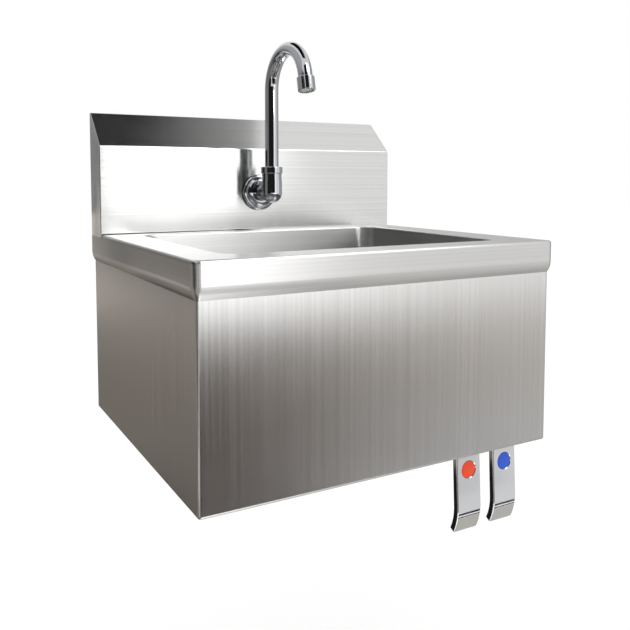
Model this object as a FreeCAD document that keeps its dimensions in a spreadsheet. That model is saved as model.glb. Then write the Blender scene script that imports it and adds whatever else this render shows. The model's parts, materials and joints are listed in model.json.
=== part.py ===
"""Wall-hung stainless-steel hand basin with a gooseneck spout and two knee pedals.

Frame: the origin is the middle of the wall bracket's screw holes, on the wall face.
+Z is up, +Y goes into the wall, and the user stands on the -Y side. Millimetres.
Heights inside each piece are measured from the top of the deck.
"""
import FreeCAD, Part
import math
import os
import re

import Sketcher

SIZES = {
    # sheet-metal shell
    "basin_width": 432,
    "basin_depth": 381,
    "sheet_thickness": 1.2,
    "rim_height": 36,
    "rim_face_height": 23.5,
    "rim_bend_radius": 3,
    "rim_corner_radius": 7.5,
    # bowl pressed into the deck
    "side_ledge": 45.5,
    "front_ledge": 39,
    "back_ledge": 14.5,
    "bowl_depth": 130,
    "bowl_corner_radius": 21,
    "bowl_lip_radius": 2.5,
    "cove_radius": 17,
    "floor_fall": 4,
    "dish_half_width": 50,
    "dish_corner_radius": 44,
    "plumbing_side_strip": 21,
    "plumbing_front_strip": 4,
    # skirt under the rim
    "skirt_inset": 4,
    "skirt_drop": 232,
    "skirt_bend_radius": 3,
    "skirt_hem": 14,
    "wall_flange": 24,
    "wall_flange_top": 44,
    "lower_screw_drop": 190,
    "lower_screw_inset": 14,
    "lower_screw_radius": 3.5,
    # backsplash
    "splash_depth": 50,
    "splash_height": 158,
    "fold_height": 111,
    "fold_radius": 3,
    "wall_fold_radius": 2.5,
    "wall_hem": 22,
    "splash_edge_radius": 1,
    # wall bracket
    "screw_row_height": 114,
    "screw_spacing": 254,
    "screw_row_gap": 25.4,
    "wall_screw_radius": 4,
    "bracket_length": 330,
    "bracket_thickness": 1.6,
    "bracket_below_screws": 26,
    "hook_height": 14,
    "hook_root": 3,
    "hook_clearance": 0.2,
    # faucet elbow and its wall fitting
    "faucet_height": 51.5,
    "spout_reach": 42,
    "elbow_radius": 13.5,
    "elbow_shoulder": 16.5,
    "elbow_neck_radius": 12,
    "elbow_neck": 10,
    "arm_radius": 11.5,
    "shank_radius": 10.2,
    "shank_length": 29,
    "waterway_radius": 6.5,
    "socket_radius": 10.7,
    "socket_floor": 4,
    "escutcheon_radius": 24.5,
    "escutcheon_edge": 2.1,
    "escutcheon_step_radius": 21,
    "escutcheon_step": 4.5,
    "escutcheon_crown_radius": 14,
    "escutcheon_height": 9.5,
    "escutcheon_clearance": 0.2,
    "gasket_thickness": 1.5,
    "gasket_inset": 1,
    "washer_radius": 19,
    "washer_thickness": 2,
    "washer_clearance": 0.2,
    "locknut_flats": 30,
    "locknut_length": 7,
    "supply_radius": 14,
    "supply_socket": 14,
    "supply_setback": 25,
    "supply_arm_radius": 10,
    "supply_arm": 24,
    # spout
    "tube_radius": 9,
    "tube_wall": 1.2,
    "bend_height": 186,
    "arch_radius": 47,
    "arch_angle": 168,
    "spout_straight_end": 6,
    "spout_foot": 1,
    "collar_radius": 11.6,
    "collar_height": 3,
    "collar_gap": 0.5,
    "spout_nut_radius": 14.2,
    "spout_nut_waist": 13,
    "spout_nut_roof": 4,
    "spout_nut_edge": 1,
    "spout_nut_clearance": 0.3,
    "bush_height": 6.5,
    "ring_thickness": 1.6,
    "ring_spacing": 5,
    # aerator
    "aerator_radius": 11,
    "aerator_cover": 3,
    "aerator_drop": 14.4,
    "aerator_edge": 1.3,
    "aerator_lip": 2,
    "aerator_mouth_radius": 9.1,
    "aerator_bore_radius": 9.9,
    "aerator_washer_thickness": 1.5,
    "aerator_washer_hole": 7,
    "jet_radius": 0.9,
    "jet_circle_radius": 3.6,
    "outer_jet_circle_radius": 7.2,
    # mixed-water tube between the valve and the faucet
    "pipe_radius": 6.35,
    "pipe_wall": 0.9,
    "pipe_bend_radius": 30,
    "pipe_end_gap": 0.5,
    "pipe_socket": 10,
    "pipe_nut_flats": 22,
    "pipe_nut_length": 10,
    # drain
    "drain_flange_radius": 42,
    "drain_flange_edge": 1.2,
    "drain_flange_height": 2.4,
    "drain_flange_slope": 6,
    "drain_thread_radius": 28,
    "drain_bore_radius": 25,
    "drain_seat_radius": 27.5,
    "drain_seat_drop": 0.8,
    "drain_bore_depth": 30,
    "drain_shoulder_drop": 36,
    "drain_outlet_radius": 22,
    "drain_outlet_bore": 17,
    "drain_drop": 60,
    "drain_hole_clearance": 0.5,
    "drain_gasket_radius": 40,
    "drain_gasket_thickness": 3,
    "drain_washer_thickness": 1,
    "drain_nut_radius": 39,
    "drain_nut_length": 9,
    "drain_lug_width": 10,
    "drain_lug_reach": 44,
    "tail_radius": 19.05,
    "tail_wall": 1.2,
    "tail_relief": 0.2,
    "tail_relief_below_nut": 0.5,
    "tail_flange_radius": 21.4,
    "tail_flange_thickness": 1.5,
    "tail_washer_thickness": 2,
    "tail_bottom_drop": 228,
    "tail_nut_flats": 54,
    "tail_nut_length": 18,
    "tail_nut_lip": 3,
    "strainer_wall": 1,
    "strainer_depth": 20,
    "strainer_hole_radius": 2.2,
    "strainer_circle_radius": 15,
    "strainer_inner_circle_radius": 9,
    "strainer_post_radius": 2.5,
    "strainer_knob_radius": 6.5,
    "strainer_knob_height": 6,
    "strainer_knob_top": 2,
    # knee pedals and their pivot
    "valve_inset": 76.5,
    "pedal_spacing": 53,
    "pivot_drop": 182,
    "pivot_setback": 28.3,
    "pivot_pin_radius": 3,
    "pin_overhang": 3.5,
    "pin_chamfer": 0.6,
    "clip_radius": 6,
    "clip_thickness": 1,
    "spacer_radius": 5.5,
    "side_play": 0.3,
    "pedal_top_width": 33,
    "pedal_tip_width": 33.8,
    "pedal_length": 144.2,
    "pedal_straight": 113,
    "pedal_tip_setback": 9,
    "pedal_thickness": 6.6,
    "pedal_lean": 3,
    "pedal_eye_radius": 8,
    "pedal_edge_radius": 1.2,
    "pedal_tip_radius": 2,
    "disc_drop": 73,
    "disc_radius": 9.3,
    "disc_thickness": 0.8,
    "disc_crown": 0.4,
    "disc_recess": 1,
    "disc_bevel": 0.9,
    # knee valve
    "lever_arm": 18,
    "touch_gap": 0.3,
    "valve_gap": 25.7,
    "block_depth": 30,
    "block_above_axis": 13,
    "block_below_axis": 20,
    "block_edge_radius": 6,
    "block_end_gap": 0.2,
    "barrel_radius": 14,
    "barrel_length": 7,
    "barrel_bore_radius": 10,
    "barrel_bore_depth": 31,
    "bonnet_flats": 24,
    "bonnet_head": 7,
    "bonnet_spigot": 8,
    "bonnet_recess": 7,
    "stem_radius": 4,
    "stem_seal_thickness": 1.6,
    "piston_radius": 8,
    "piston_length": 4.7,
    "tail_rod_radius": 3,
    "tail_rod_length": 13,
    "spring_radius": 6,
    "spring_wire": 1.2,
    "outlet_boss_radius": 10,
    "outlet_boss": 9,
    "valve_waterway_radius": 4,
    "inlet_thread_radius": 10.45,
    "inlet_length": 12,
    "inlet_spigot_radius": 8,
    "inlet_spigot": 7,
    "inlet_bore_radius": 5.5,
    "bracket_inner_width": 102,
    "valve_bracket_sheet": 2,
    "valve_bracket_bend": 4,
    "valve_bracket_reach": 80,
    "valve_bracket_above_axis": 34,
    "valve_bracket_below_axis": 22,
    "valve_screw_radius": 2.5,
    "valve_screw_head_radius": 4.6,
    "valve_screw_head": 3.2,
    "valve_screw_depth": 12,
    "valve_screw_spacing": 16,
    # fits shared by all pieces
    "running_fit": 0.05,
    "cut_overrun": 5,
}
SPRING_TURNS = 6
POINTS_PER_TURN = 48
JETS_PER_RING = 6
STRAINER_HOLES = 8
DRAIN_LUGS = 6
TIP_ZONE_SHARE = 0.97
SIDE_ZONE_SHARE = 0.05
SEARCH_TOLERANCE = 0.05

# The sketcher's own numbers for the start, end and centre of an edge
START, END, CENTRE = range(1, 4)
LEFT_TURN, RIGHT_TURN = "left", "right"
UPRIGHT = FreeCAD.Rotation()
FACING_FRONT = FreeCAD.Rotation(FreeCAD.Vector(1, 0, 0), 90)
FACING_BACK = FreeCAD.Rotation(FreeCAD.Vector(1, 0, 0), -90)
FACING_DOWN = FreeCAD.Rotation(FreeCAD.Vector(1, 0, 0), 180)
FACING_RIGHT = FreeCAD.Rotation(FreeCAD.Vector(0, 1, 0), 90)
FACING_LEFT = FreeCAD.Rotation(FreeCAD.Vector(0, 1, 0), -90)

# Places that several pieces share, written in the named sizes
HALF = "(basin_width / 2)"
FRONT = "(-basin_depth)"
ROLL_RADIUS = "((skirt_inset ^ 2 + (rim_height - rim_face_height) ^ 2) / (2 * skirt_inset))"
BOWL_FRONT = "(front_ledge - basin_depth)"
BOWL_BACK = "(-splash_depth - back_ledge)"
BOWL_SIDE = "(basin_width / 2 - side_ledge)"
BOWL_MIDDLE = f"(({BOWL_FRONT} + {BOWL_BACK}) / 2)"
FLOOR = "(-bowl_depth - floor_fall)"
DRAIN_HOLE = "(drain_thread_radius + drain_hole_clearance)"
SPLASH_BACK = "(sheet_thickness - splash_depth)"
SPLASH_SLOPE = "atan((splash_height - fold_height) / splash_depth)"
COLUMN = "(-splash_depth - spout_reach)"
NECK_TOP = "(elbow_shoulder + elbow_neck)"
PIVOT_DEPTH = "(pivot_setback - basin_depth)"
PIVOT_HEIGHT = "(-pivot_drop)"
VALVE_HEIGHT = "(-pivot_drop - lever_arm)"
LEAN = "(pedal_lean * 1 deg)"
PEDAL_BACK = f"(pedal_thickness / 2 / cos({LEAN}) - lever_arm * tan({LEAN}))"
BARREL_FACE = f"({PIVOT_DEPTH} + valve_gap - barrel_length)"
BLOCK_MIDDLE = f"({PIVOT_DEPTH} + valve_gap + block_depth / 2)"
SKIRT_INSIDE = "(skirt_inset + sheet_thickness - basin_depth)"
VALVE_MIDDLE = "(basin_width / 2 - valve_inset)"
HOT = f"({VALVE_MIDDLE} - pedal_spacing / 2)"
COLD = f"({VALVE_MIDDLE} + pedal_spacing / 2)"
PEDAL_SIDES = {"hot": HOT, "cold": COLD}

doc = FreeCAD.newDocument("hand_basin")
sheet = doc.addObject("Spreadsheet::Sheet", "sizes")
for row, (alias, number) in enumerate(SIZES.items(), start=1):
    sheet.set(f"A{row}", alias)
    sheet.set(f"B{row}", str(number))
    sheet.setAlias(f"B{row}", alias)
doc.recompute()


def sized(expression):
    """The expression with each named size written as its cell of the sheet."""
    def cell(word):
        return f"sizes.{word[0]}" if word[0] in SIZES else word[0]

    return re.sub(r"[a-z][a-z_]*", cell, str(expression))


def value(expression):
    """The length that an expression comes to, in millimetres."""
    return float(sheet.evalExpression(sized(expression)))


def place(piece, x=0, y=0, z=0, facing=UPRIGHT):
    """Put a piece's own origin at a place whose height is measured from the deck."""
    piece.Placement = FreeCAD.Placement(FreeCAD.Vector(), facing)
    for direction, expression in zip("xyz", (x, y, f"{z} - screw_row_height")):
        piece.setExpression(f"Placement.Base.{direction}", sized(expression))
    return piece


# Sketch helpers


def arc_between(start, end, radius, side):
    """The arc of less than half a turn from start to end that bends to the given side."""
    chord = end - start
    across = FreeCAD.Vector(-chord.y, chord.x, 0).normalize()
    reach = math.sqrt(max(radius ** 2 - (chord.Length / 2) ** 2, 0))
    centre = (start + end) * 0.5 + across * (reach if side == LEFT_TURN else -reach)
    angles = [math.atan2(spot.y - centre.y, spot.x - centre.x) for spot in (start, end)]
    if side == RIGHT_TURN:
        angles.reverse()
    circle = Part.Circle(centre, FreeCAD.Vector(0, 0, 1), radius)
    return Part.ArcOfCircle(circle, angles[0], angles[1])


def pin(sketch, constraint, expression):
    """Add a constraint whose value follows an expression."""
    index = sketch.addConstraint(constraint)
    sketch.setExpression(f"Constraints[{index}]", sized(expression))


def pin_point(sketch, edge, vertex, across, up):
    """Hold one end of an edge at a place given by two expressions."""
    pin(sketch, Sketcher.Constraint("DistanceX", edge, vertex, value(across)), across)
    pin(sketch, Sketcher.Constraint("DistanceY", edge, vertex, value(up)), up)


def add_chain(sketch, points, closed=True):
    """Draw edges through points (across, up) or, for an arc to the point, (across, up, radius, side)."""
    spots = [FreeCAD.Vector(value(point[0]), value(point[1]), 0) for point in points]
    first = 0 if closed else 1
    edges = []
    for index in range(first, len(points)):
        before, here = spots[index - 1], spots[index]
        if len(points[index]) == 2:
            edges.append((sketch.addGeometry(Part.LineSegment(before, here), False), START, END))
            continue
        radius, side = points[index][2:]
        edge = sketch.addGeometry(arc_between(before, here, value(radius), side), False)
        edges.append((edge, START, END) if side == LEFT_TURN else (edge, END, START))
        pin(sketch, Sketcher.Constraint("Radius", edge, value(radius)), radius)
    followers = edges[1:] + (edges[:1] if closed else [])
    for (edge, tail, head), (follower, follower_tail, follower_head) in zip(edges, followers):
        sketch.addConstraint(Sketcher.Constraint("Coincident", edge, head, follower, follower_tail))
    for (edge, tail, head), point in zip(edges, points[first:]):
        pin_point(sketch, edge, head, point[0], point[1])
    if not closed:
        pin_point(sketch, edges[0][0], edges[0][1], points[0][0], points[0][1])


def add_circle(sketch, across, up, radius):
    """Draw a circle whose centre and radius follow expressions."""
    centre = FreeCAD.Vector(value(across), value(up), 0)
    circle = Part.Circle(centre, FreeCAD.Vector(0, 0, 1), value(radius))
    edge = sketch.addGeometry(circle, False)
    pin(sketch, Sketcher.Constraint("Radius", edge, value(radius)), radius)
    pin_point(sketch, edge, CENTRE, across, up)


def draw(body, plane, name, chains=(), circles=(), lift="0", closed=True):
    """A sketch on one of the body's own origin planes, lifted along the plane's normal."""
    sketch = body.newObject("Sketcher::SketchObject", name)
    support = next(part for part in body.Origin.OriginFeatures if part.Role == plane)
    sketch.AttachmentSupport = [(support, "")]
    sketch.MapMode = "FlatFace"
    sketch.setExpression("AttachmentOffset.Base.z", sized(lift))
    for chain in chains:
        add_chain(sketch, chain, closed)
    for circle in circles:
        add_circle(sketch, *circle)
    return sketch


def rounded_rectangle(left, front, right, back, radius):
    """The eight points of a rectangle with round corners."""
    return [
        (f"{left} + {radius}", front, radius, LEFT_TURN),
        (f"{right} - {radius}", front),
        (right, f"{front} + {radius}", radius, LEFT_TURN),
        (right, f"{back} - {radius}"),
        (f"{right} - {radius}", back, radius, LEFT_TURN),
        (f"{left} + {radius}", back),
        (left, f"{back} - {radius}", radius, LEFT_TURN),
        (left, f"{front} + {radius}"),
    ]


def rectangle(left, bottom, right, top):
    """The four corners of a rectangle."""
    return [(left, bottom), (right, bottom), (right, top), (left, top)]


def hexagon(flats):
    """The six corners of a hexagon with the given distance across its flats."""
    side = f"{flats} / 2"
    corner = f"{flats} / 2 * tan(30 deg)"
    point = f"{flats} / 2 / cos(30 deg)"
    return [
        (side, f"-{corner}"), (side, corner), ("0", point),
        (f"-{side}", corner), (f"-{side}", f"-{corner}"), ("0", f"-{point}"),
    ]


# Body helpers


def new_body(label):
    """An empty body, named for its piece."""
    return doc.addObject("PartDesign::Body", label)


def extrude(kind, body, sketch, length, sides="One side", backwards=False):
    """A Pad or a Pocket of a sketch, to a length that follows an expression."""
    feature = body.newObject(f"PartDesign::{kind}", f"{sketch.Name}_{kind.lower()}")
    feature.Profile = sketch
    feature.SideType = sides
    feature.Reversed = backwards
    feature.setExpression("Length", sized(length))
    return feature


def revolve(kind, body, sketch, axis="V_Axis"):
    """A Revolution or a Groove of a sketch about one of the sketch's axes."""
    feature = body.newObject(f"PartDesign::{kind}", f"{sketch.Name}_{kind.lower()}")
    feature.Profile = sketch
    feature.ReferenceAxis = (sketch, [axis])
    feature.Angle = 360
    return feature


def sweep(body, section, path):
    """A section carried along a path."""
    feature = body.newObject("PartDesign::AdditivePipe", f"{section.Name}_pipe")
    feature.Profile = section
    feature.Spine = (path, [])
    return feature


def loft(kind, body, first, second):
    """A straight-sided loft between two sketches."""
    feature = body.newObject(f"PartDesign::{kind}", f"{first.Name}_loft")
    feature.Profile = first
    feature.Sections = [(second, [""])]
    feature.Ruled = True
    return feature


def repeat_round(body, original, count):
    """Copies of one feature, evenly spaced about the body's own Z axis."""
    doc.recompute()
    upright = next(part for part in body.Origin.OriginFeatures if part.Role == "Z_Axis")
    pattern = body.newObject("PartDesign::PolarPattern", f"{original.Name}_ring")
    pattern.Originals = [original]
    pattern.Axis = (upright, [""])
    pattern.Angle = 360
    pattern.Occurrences = count
    body.Tip = pattern


def round_edges(body, radius, chosen, kind="Fillet"):
    """Fillet or chamfer the edges of the body that a test chooses."""
    doc.recompute()
    base = body.Tip
    names = [f"Edge{number}" for number, edge in enumerate(base.Shape.Edges, start=1) if chosen(edge)]
    feature = body.newObject(f"PartDesign::{kind}", f"{body.Name}_{kind.lower()}")
    feature.Base = (base, names)
    feature.setExpression("Radius" if kind == "Fillet" else "Size", sized(radius))
    return feature


def turned(label, points):
    """A piece turned about its own Z axis from (radius, height) points."""
    body = new_body(label)
    revolve("Revolution", body, draw(body, "XZ_Plane", f"{label}_section", [points]))
    return body


def ring(label, inner, outer, bottom, top):
    """A plain turned ring."""
    return turned(label, rectangle(inner, bottom, outer, top))


def hex_nut(label, flats, length, bore):
    """A hexagon nut that starts at its origin, with its far corners turned down."""
    body = new_body(label)
    outline = draw(body, "XY_Plane", f"{label}_outline", [hexagon(flats)], [("0", "0", bore)])
    extrude("Pad", body, outline, length)
    near, far = f"{flats} / 2", f"({flats} / 2 / cos(30 deg) + cut_overrun)"
    drop = f"({far} - {near}) * tan(30 deg)"
    chamfer = [
        (near, length), (far, f"{length} - {drop}"),
        (far, f"{length} + cut_overrun"), (near, f"{length} + cut_overrun"),
    ]
    revolve("Groove", body, draw(body, "XZ_Plane", f"{label}_corners", [chamfer]))
    return body


def group(label, pieces):
    """Several like pieces kept together in one node."""
    compound = doc.addObject("Part::Compound", label)
    compound.Links = pieces
    return compound


# Sheet-metal shell


def wall_to_wall_path(inset, corner):
    """The plan line along the left side, front and right side, inset from the rim's face."""
    side = f"({HALF} - {inset})"
    front = f"({FRONT} + {inset})"
    return [
        (f"-{side}", "0"),
        (f"-{side}", f"{front} + {corner}"),
        (f"-{side} + {corner}", front, corner, LEFT_TURN),
        (f"{side} - {corner}", front),
        (side, f"{front} + {corner}", corner, LEFT_TURN),
        (side, "0"),
    ]


def basin_top():
    """Deck, rolled rim and bowl, one welded sheet."""
    body = new_body("basin_top")
    bend = "rim_bend_radius"
    inner_roll = f"({ROLL_RADIUS} - sheet_thickness)"
    roll_end = f"(-rim_face_height - sqrt({inner_roll} ^ 2 - ({ROLL_RADIUS} - skirt_inset) ^ 2))"
    rim = [
        (bend, "0"),
        ("0", f"-{bend}", bend, LEFT_TURN),
        ("0", "-rim_face_height"),
        ("skirt_inset", "-rim_height", ROLL_RADIUS, LEFT_TURN),
        ("skirt_inset", roll_end),
        ("sheet_thickness", "-rim_face_height", inner_roll, RIGHT_TURN),
        ("sheet_thickness", f"-{bend}"),
        (bend, "-sheet_thickness", f"{bend} - sheet_thickness", RIGHT_TURN),
    ]
    rim = [(f"{point[0]} - {HALF}", *point[1:]) for point in rim]
    rim_path = draw(
        body, "XY_Plane", "rim_path", [wall_to_wall_path("0", "rim_corner_radius")], closed=False
    )
    sweep(body, draw(body, "XZ_Plane", "rim_section", [rim]), rim_path)

    strip = f"({HALF} - plumbing_side_strip)"
    ledge = "(plumbing_front_strip - splash_depth)"
    plate = wall_to_wall_path(bend, f"(rim_corner_radius - {bend})")
    plate += [(strip, "0"), (strip, ledge), (f"-{strip}", ledge), (f"-{strip}", "0")]
    lip = "bowl_lip_radius"
    opening = rounded_rectangle(
        f"(-{BOWL_SIDE} - {lip})", f"({BOWL_FRONT} - {lip})", f"({BOWL_SIDE} + {lip})",
        f"({BOWL_BACK} + {lip})", f"(bowl_corner_radius + {lip})",
    )
    deck = draw(body, "XY_Plane", "deck_outline", [plate, opening])
    extrude("Pad", body, deck, "sheet_thickness", backwards=True)

    knee = "(cove_radius - bowl_depth)"
    wall = [
        (f"{BOWL_BACK} + {lip}", "0"),
        (BOWL_BACK, f"-{lip}", lip, LEFT_TURN),
        (BOWL_BACK, knee),
        (f"{BOWL_BACK} - cove_radius", "-bowl_depth", "cove_radius", RIGHT_TURN),
        (f"{BOWL_BACK} - cove_radius", "-bowl_depth - sheet_thickness"),
        (f"{BOWL_BACK} + sheet_thickness", knee, "cove_radius + sheet_thickness", LEFT_TURN),
        (f"{BOWL_BACK} + sheet_thickness", f"-{lip}"),
        (f"{BOWL_BACK} + {lip}", "-sheet_thickness", f"{lip} - sheet_thickness", RIGHT_TURN),
    ]
    round_bowl = rounded_rectangle(f"-{BOWL_SIDE}", BOWL_FRONT, BOWL_SIDE, BOWL_BACK, "bowl_corner_radius")
    start_at_back = [("0", BOWL_BACK)] + round_bowl[5:] + round_bowl[:5]
    bowl_path = draw(body, "XY_Plane", "bowl_path", [start_at_back])
    sweep(body, draw(body, "YZ_Plane", "bowl_wall_section", [wall]), bowl_path)

    def floor_edge(name, height):
        edge = rounded_rectangle(
            f"(cove_radius - {BOWL_SIDE})", f"({BOWL_FRONT} + cove_radius)", f"({BOWL_SIDE} - cove_radius)",
            f"({BOWL_BACK} - cove_radius)", "(bowl_corner_radius - cove_radius)",
        )
        return draw(body, "XY_Plane", name, [edge], lift=height)

    def dish_edge(name, height):
        edge = rounded_rectangle(
            "(-dish_half_width)", f"({BOWL_MIDDLE} - dish_half_width)", "dish_half_width",
            f"({BOWL_MIDDLE} + dish_half_width)", "dish_corner_radius",
        )
        return draw(body, "XY_Plane", name, [edge], lift=height)

    slab = floor_edge("floor_slab", "-bowl_depth")
    extrude("Pad", body, slab, "sheet_thickness", backwards=True)
    under = "- sheet_thickness"
    lower_edge = floor_edge("floor_under", f"-bowl_depth {under}")
    loft("AdditiveLoft", body, lower_edge, dish_edge("dish_under", f"{FLOOR} {under}"))
    upper_edge = floor_edge("floor_upper", "-bowl_depth")
    loft("SubtractiveLoft", body, upper_edge, dish_edge("dish_upper", FLOOR))
    hole = draw(body, "XY_Plane", "drain_hole", circles=[("0", BOWL_MIDDLE, DRAIN_HOLE)])
    extrude("Pocket", body, hole, "bowl_depth + floor_fall + sheet_thickness + cut_overrun")
    return place(body)


def splash_fold(across, up, into, out_of, radius, reach):
    """The two ends of a round fold that reach back from a corner, between two directions (across, up)."""
    start = (f"{across} - {into[0]} * {reach}", f"{up} - {into[1]} * {reach}")
    end = (f"{across} + {out_of[0]} * {reach}", f"{up} + {out_of[1]} * {reach}")
    return start, (*end, radius, RIGHT_TURN)


def backsplash():
    """Boxed backsplash: a folded front sheet with closed ends and a hem that hooks on the bracket."""
    body = new_body("backsplash")
    run, rise = f"cos({SPLASH_SLOPE})", f"sin({SPLASH_SLOPE})"
    fold_reach = f"(fold_radius * tan((90 deg - {SPLASH_SLOPE}) / 2))"
    wall_reach = f"(wall_fold_radius * tan((90 deg + {SPLASH_SLOPE}) / 2))"
    up, along, down = ("0", "1"), (run, rise), ("0", "-1")
    fold = splash_fold("-splash_depth", "fold_height", up, along, "fold_radius", fold_reach)
    crest = splash_fold("0", "splash_height", along, down, "wall_fold_radius", wall_reach)
    inward = (f"{rise} * sheet_thickness", f"-{run} * sheet_thickness")
    hem = "(splash_height - wall_hem)"
    sheet_section = [
        ("-splash_depth", "0"), fold[0], fold[1], crest[0], crest[1], ("0", hem),
        ("-sheet_thickness", hem),
        ("-sheet_thickness", crest[1][1]),
        (
            f"{crest[0][0]} + {inward[0]}", f"{crest[0][1]} + {inward[1]}",
            "wall_fold_radius - sheet_thickness", LEFT_TURN,
        ),
        (f"{fold[1][0]} + {inward[0]}", f"{fold[1][1]} + {inward[1]}"),
        (SPLASH_BACK, fold[0][1], "fold_radius - sheet_thickness", LEFT_TURN),
        (SPLASH_BACK, "0"),
    ]
    section = draw(body, "YZ_Plane", "splash_section", [sheet_section])
    extrude("Pad", body, section, "basin_width", sides="Symmetric")
    cap = [("0", "0"), ("-splash_depth", "0"), fold[0], fold[1], crest[0], crest[1]]
    for side, lift in (("left", f"-{HALF}"), ("right", f"{HALF} - sheet_thickness")):
        extrude("Pad", body, draw(body, "YZ_Plane", f"{side}_cap", [cap], lift=lift), "sheet_thickness")
    bend = "rim_bend_radius"
    for side, sign, turn in (("left", "-", LEFT_TURN), ("right", "", RIGHT_TURN)):
        outer, inner = f"{sign}{HALF}", f"{sign}({HALF} - {bend})"
        bead = [(outer, f"-{bend}", bend, turn), (outer, "0"), (inner, "0")]
        extrude("Pad", body, draw(body, "XZ_Plane", f"{side}_bead", [bead]), "splash_depth")
    hole = draw(
        body, "XZ_Plane", "shank_hole",
        circles=[("0", "faucet_height", "shank_radius + washer_clearance")],
    )
    extrude("Pocket", body, hole, "splash_depth + cut_overrun", backwards=True)

    half, depth = value(HALF), value("splash_depth")
    near = value("sheet_thickness") / 4

    def end_corner(edge):
        centre = edge.CenterOfMass
        tall = edge.Curve.TypeId == "Part::GeomLine" and edge.Length > value("fold_height") / 2
        outside = abs(abs(centre.x) - half) < near
        return tall and outside and abs(centre.y + depth) < near

    round_edges(body, "splash_edge_radius", end_corner)
    return place(body)


def skirt():
    """Three-sided skirt under the rim, hemmed at the bottom and flanged at the wall."""
    body = new_body("skirt")
    bend = "skirt_bend_radius"
    low = "(-skirt_drop)"
    section = [
        ("0", "-sheet_thickness"),
        ("0", f"{low} + {bend}"),
        (bend, low, bend, LEFT_TURN),
        (bend, f"{low} + sheet_thickness"),
        ("sheet_thickness", f"{low} + {bend}", f"{bend} - sheet_thickness", RIGHT_TURN),
        ("sheet_thickness", "-sheet_thickness"),
    ]
    section = [(f"{point[0]} + skirt_inset - {HALF}", *point[1:]) for point in section]
    line = wall_to_wall_path("skirt_inset", "(rim_corner_radius - skirt_inset)")
    path = draw(body, "XY_Plane", "skirt_path", [line], closed=False)
    sweep(body, draw(body, "XZ_Plane", "skirt_section", [section]), path)
    hem = wall_to_wall_path(f"(skirt_inset + {bend})", f"(rim_corner_radius - skirt_inset - {bend})")
    inner = f"({HALF} - skirt_inset - skirt_hem)"
    inner_front = f"({FRONT} + skirt_inset + skirt_hem)"
    hem += [(inner, "0"), (inner, inner_front), (f"-{inner}", inner_front), (f"-{inner}", "0")]
    extrude("Pad", body, draw(body, "XY_Plane", "skirt_hem_outline", [hem], lift=low), "sheet_thickness")
    wall_side = f"({HALF} - skirt_inset - sheet_thickness)"
    flange_side = f"({HALF} - skirt_inset - wall_flange)"
    for side, sign in (("left", "-"), ("right", "")):
        flange = rectangle(
            f"{sign}{wall_side}", f"{low} + sheet_thickness", f"{sign}{flange_side}", "-wall_flange_top"
        )
        hole = (f"{sign}({HALF} - lower_screw_inset)", "-lower_screw_drop", "lower_screw_radius")
        outline = draw(body, "XZ_Plane", f"{side}_wall_flange", [flange], [hole])
        extrude("Pad", body, outline, "sheet_thickness")
    return place(body)


def wall_bracket():
    """Strip on the wall whose raised lip the backsplash hem hooks behind."""
    body = new_body("wall_bracket")
    hem = "(splash_height - wall_hem)"
    lip_back = "(-sheet_thickness - hook_clearance)"
    lip_front = f"({lip_back} - bracket_thickness)"
    base_front = "(-bracket_thickness)"
    profile = [
        ("0", "screw_row_height - bracket_below_screws"),
        ("0", hem),
        (lip_back, hem),
        (lip_back, f"{hem} + hook_height"),
        (lip_front, f"{hem} + hook_height"),
        (lip_front, f"{hem} - hook_root"),
        (base_front, f"{hem} - hook_root + {lip_front} - {base_front}"),
        (base_front, "screw_row_height - bracket_below_screws"),
    ]
    section = draw(body, "YZ_Plane", "bracket_section", [profile])
    extrude("Pad", body, section, "bracket_length", sides="Symmetric")
    holes = []
    for across in (-1, 1):
        for row in (-1, 1):
            height = f"screw_row_height + {row} * screw_row_gap / 2"
            holes.append((f"{across} * screw_spacing / 2", height, "wall_screw_radius"))
    drill = draw(body, "XZ_Plane", "wall_screw_holes", circles=holes)
    extrude("Pocket", body, drill, "bracket_thickness + cut_overrun", backwards=True)
    return place(body)


# Faucet


def faucet_elbow():
    """Cast elbow: a threaded shank through the backsplash, an arm and an upright socket."""
    body = new_body("faucet_elbow")
    shoulder = "(spout_reach - gasket_thickness)"
    shank_end = "(spout_reach + shank_length)"
    barrel = [
        ("0", "-elbow_radius"),
        ("elbow_radius", "0", "elbow_radius", LEFT_TURN),
        ("elbow_radius", "elbow_shoulder"),
        ("elbow_neck_radius", "elbow_shoulder"),
        ("elbow_neck_radius", NECK_TOP),
        ("0", NECK_TOP),
    ]
    revolve("Revolution", body, draw(body, "XZ_Plane", "elbow_barrel", [barrel]))
    arm = [
        ("0", "0"), ("arm_radius", "0"), ("arm_radius", shoulder),
        ("shank_radius", shoulder), ("shank_radius", shank_end), ("0", shank_end),
    ]
    revolve("Revolution", body, draw(body, "XY_Plane", "elbow_arm", [arm]))
    socket = [
        ("0", "0"), ("waterway_radius", "0"), ("waterway_radius", "socket_floor"),
        ("socket_radius", "socket_floor"), ("socket_radius", f"{NECK_TOP} + cut_overrun"),
        ("0", f"{NECK_TOP} + cut_overrun"),
    ]
    revolve("Groove", body, draw(body, "XZ_Plane", "elbow_socket", [socket]))
    waterway = rectangle("0", "0", "waterway_radius", f"{shank_end} + cut_overrun")
    revolve("Groove", body, draw(body, "XY_Plane", "elbow_waterway", [waterway]))
    return place(body, y=COLUMN, z="faucet_height")


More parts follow.
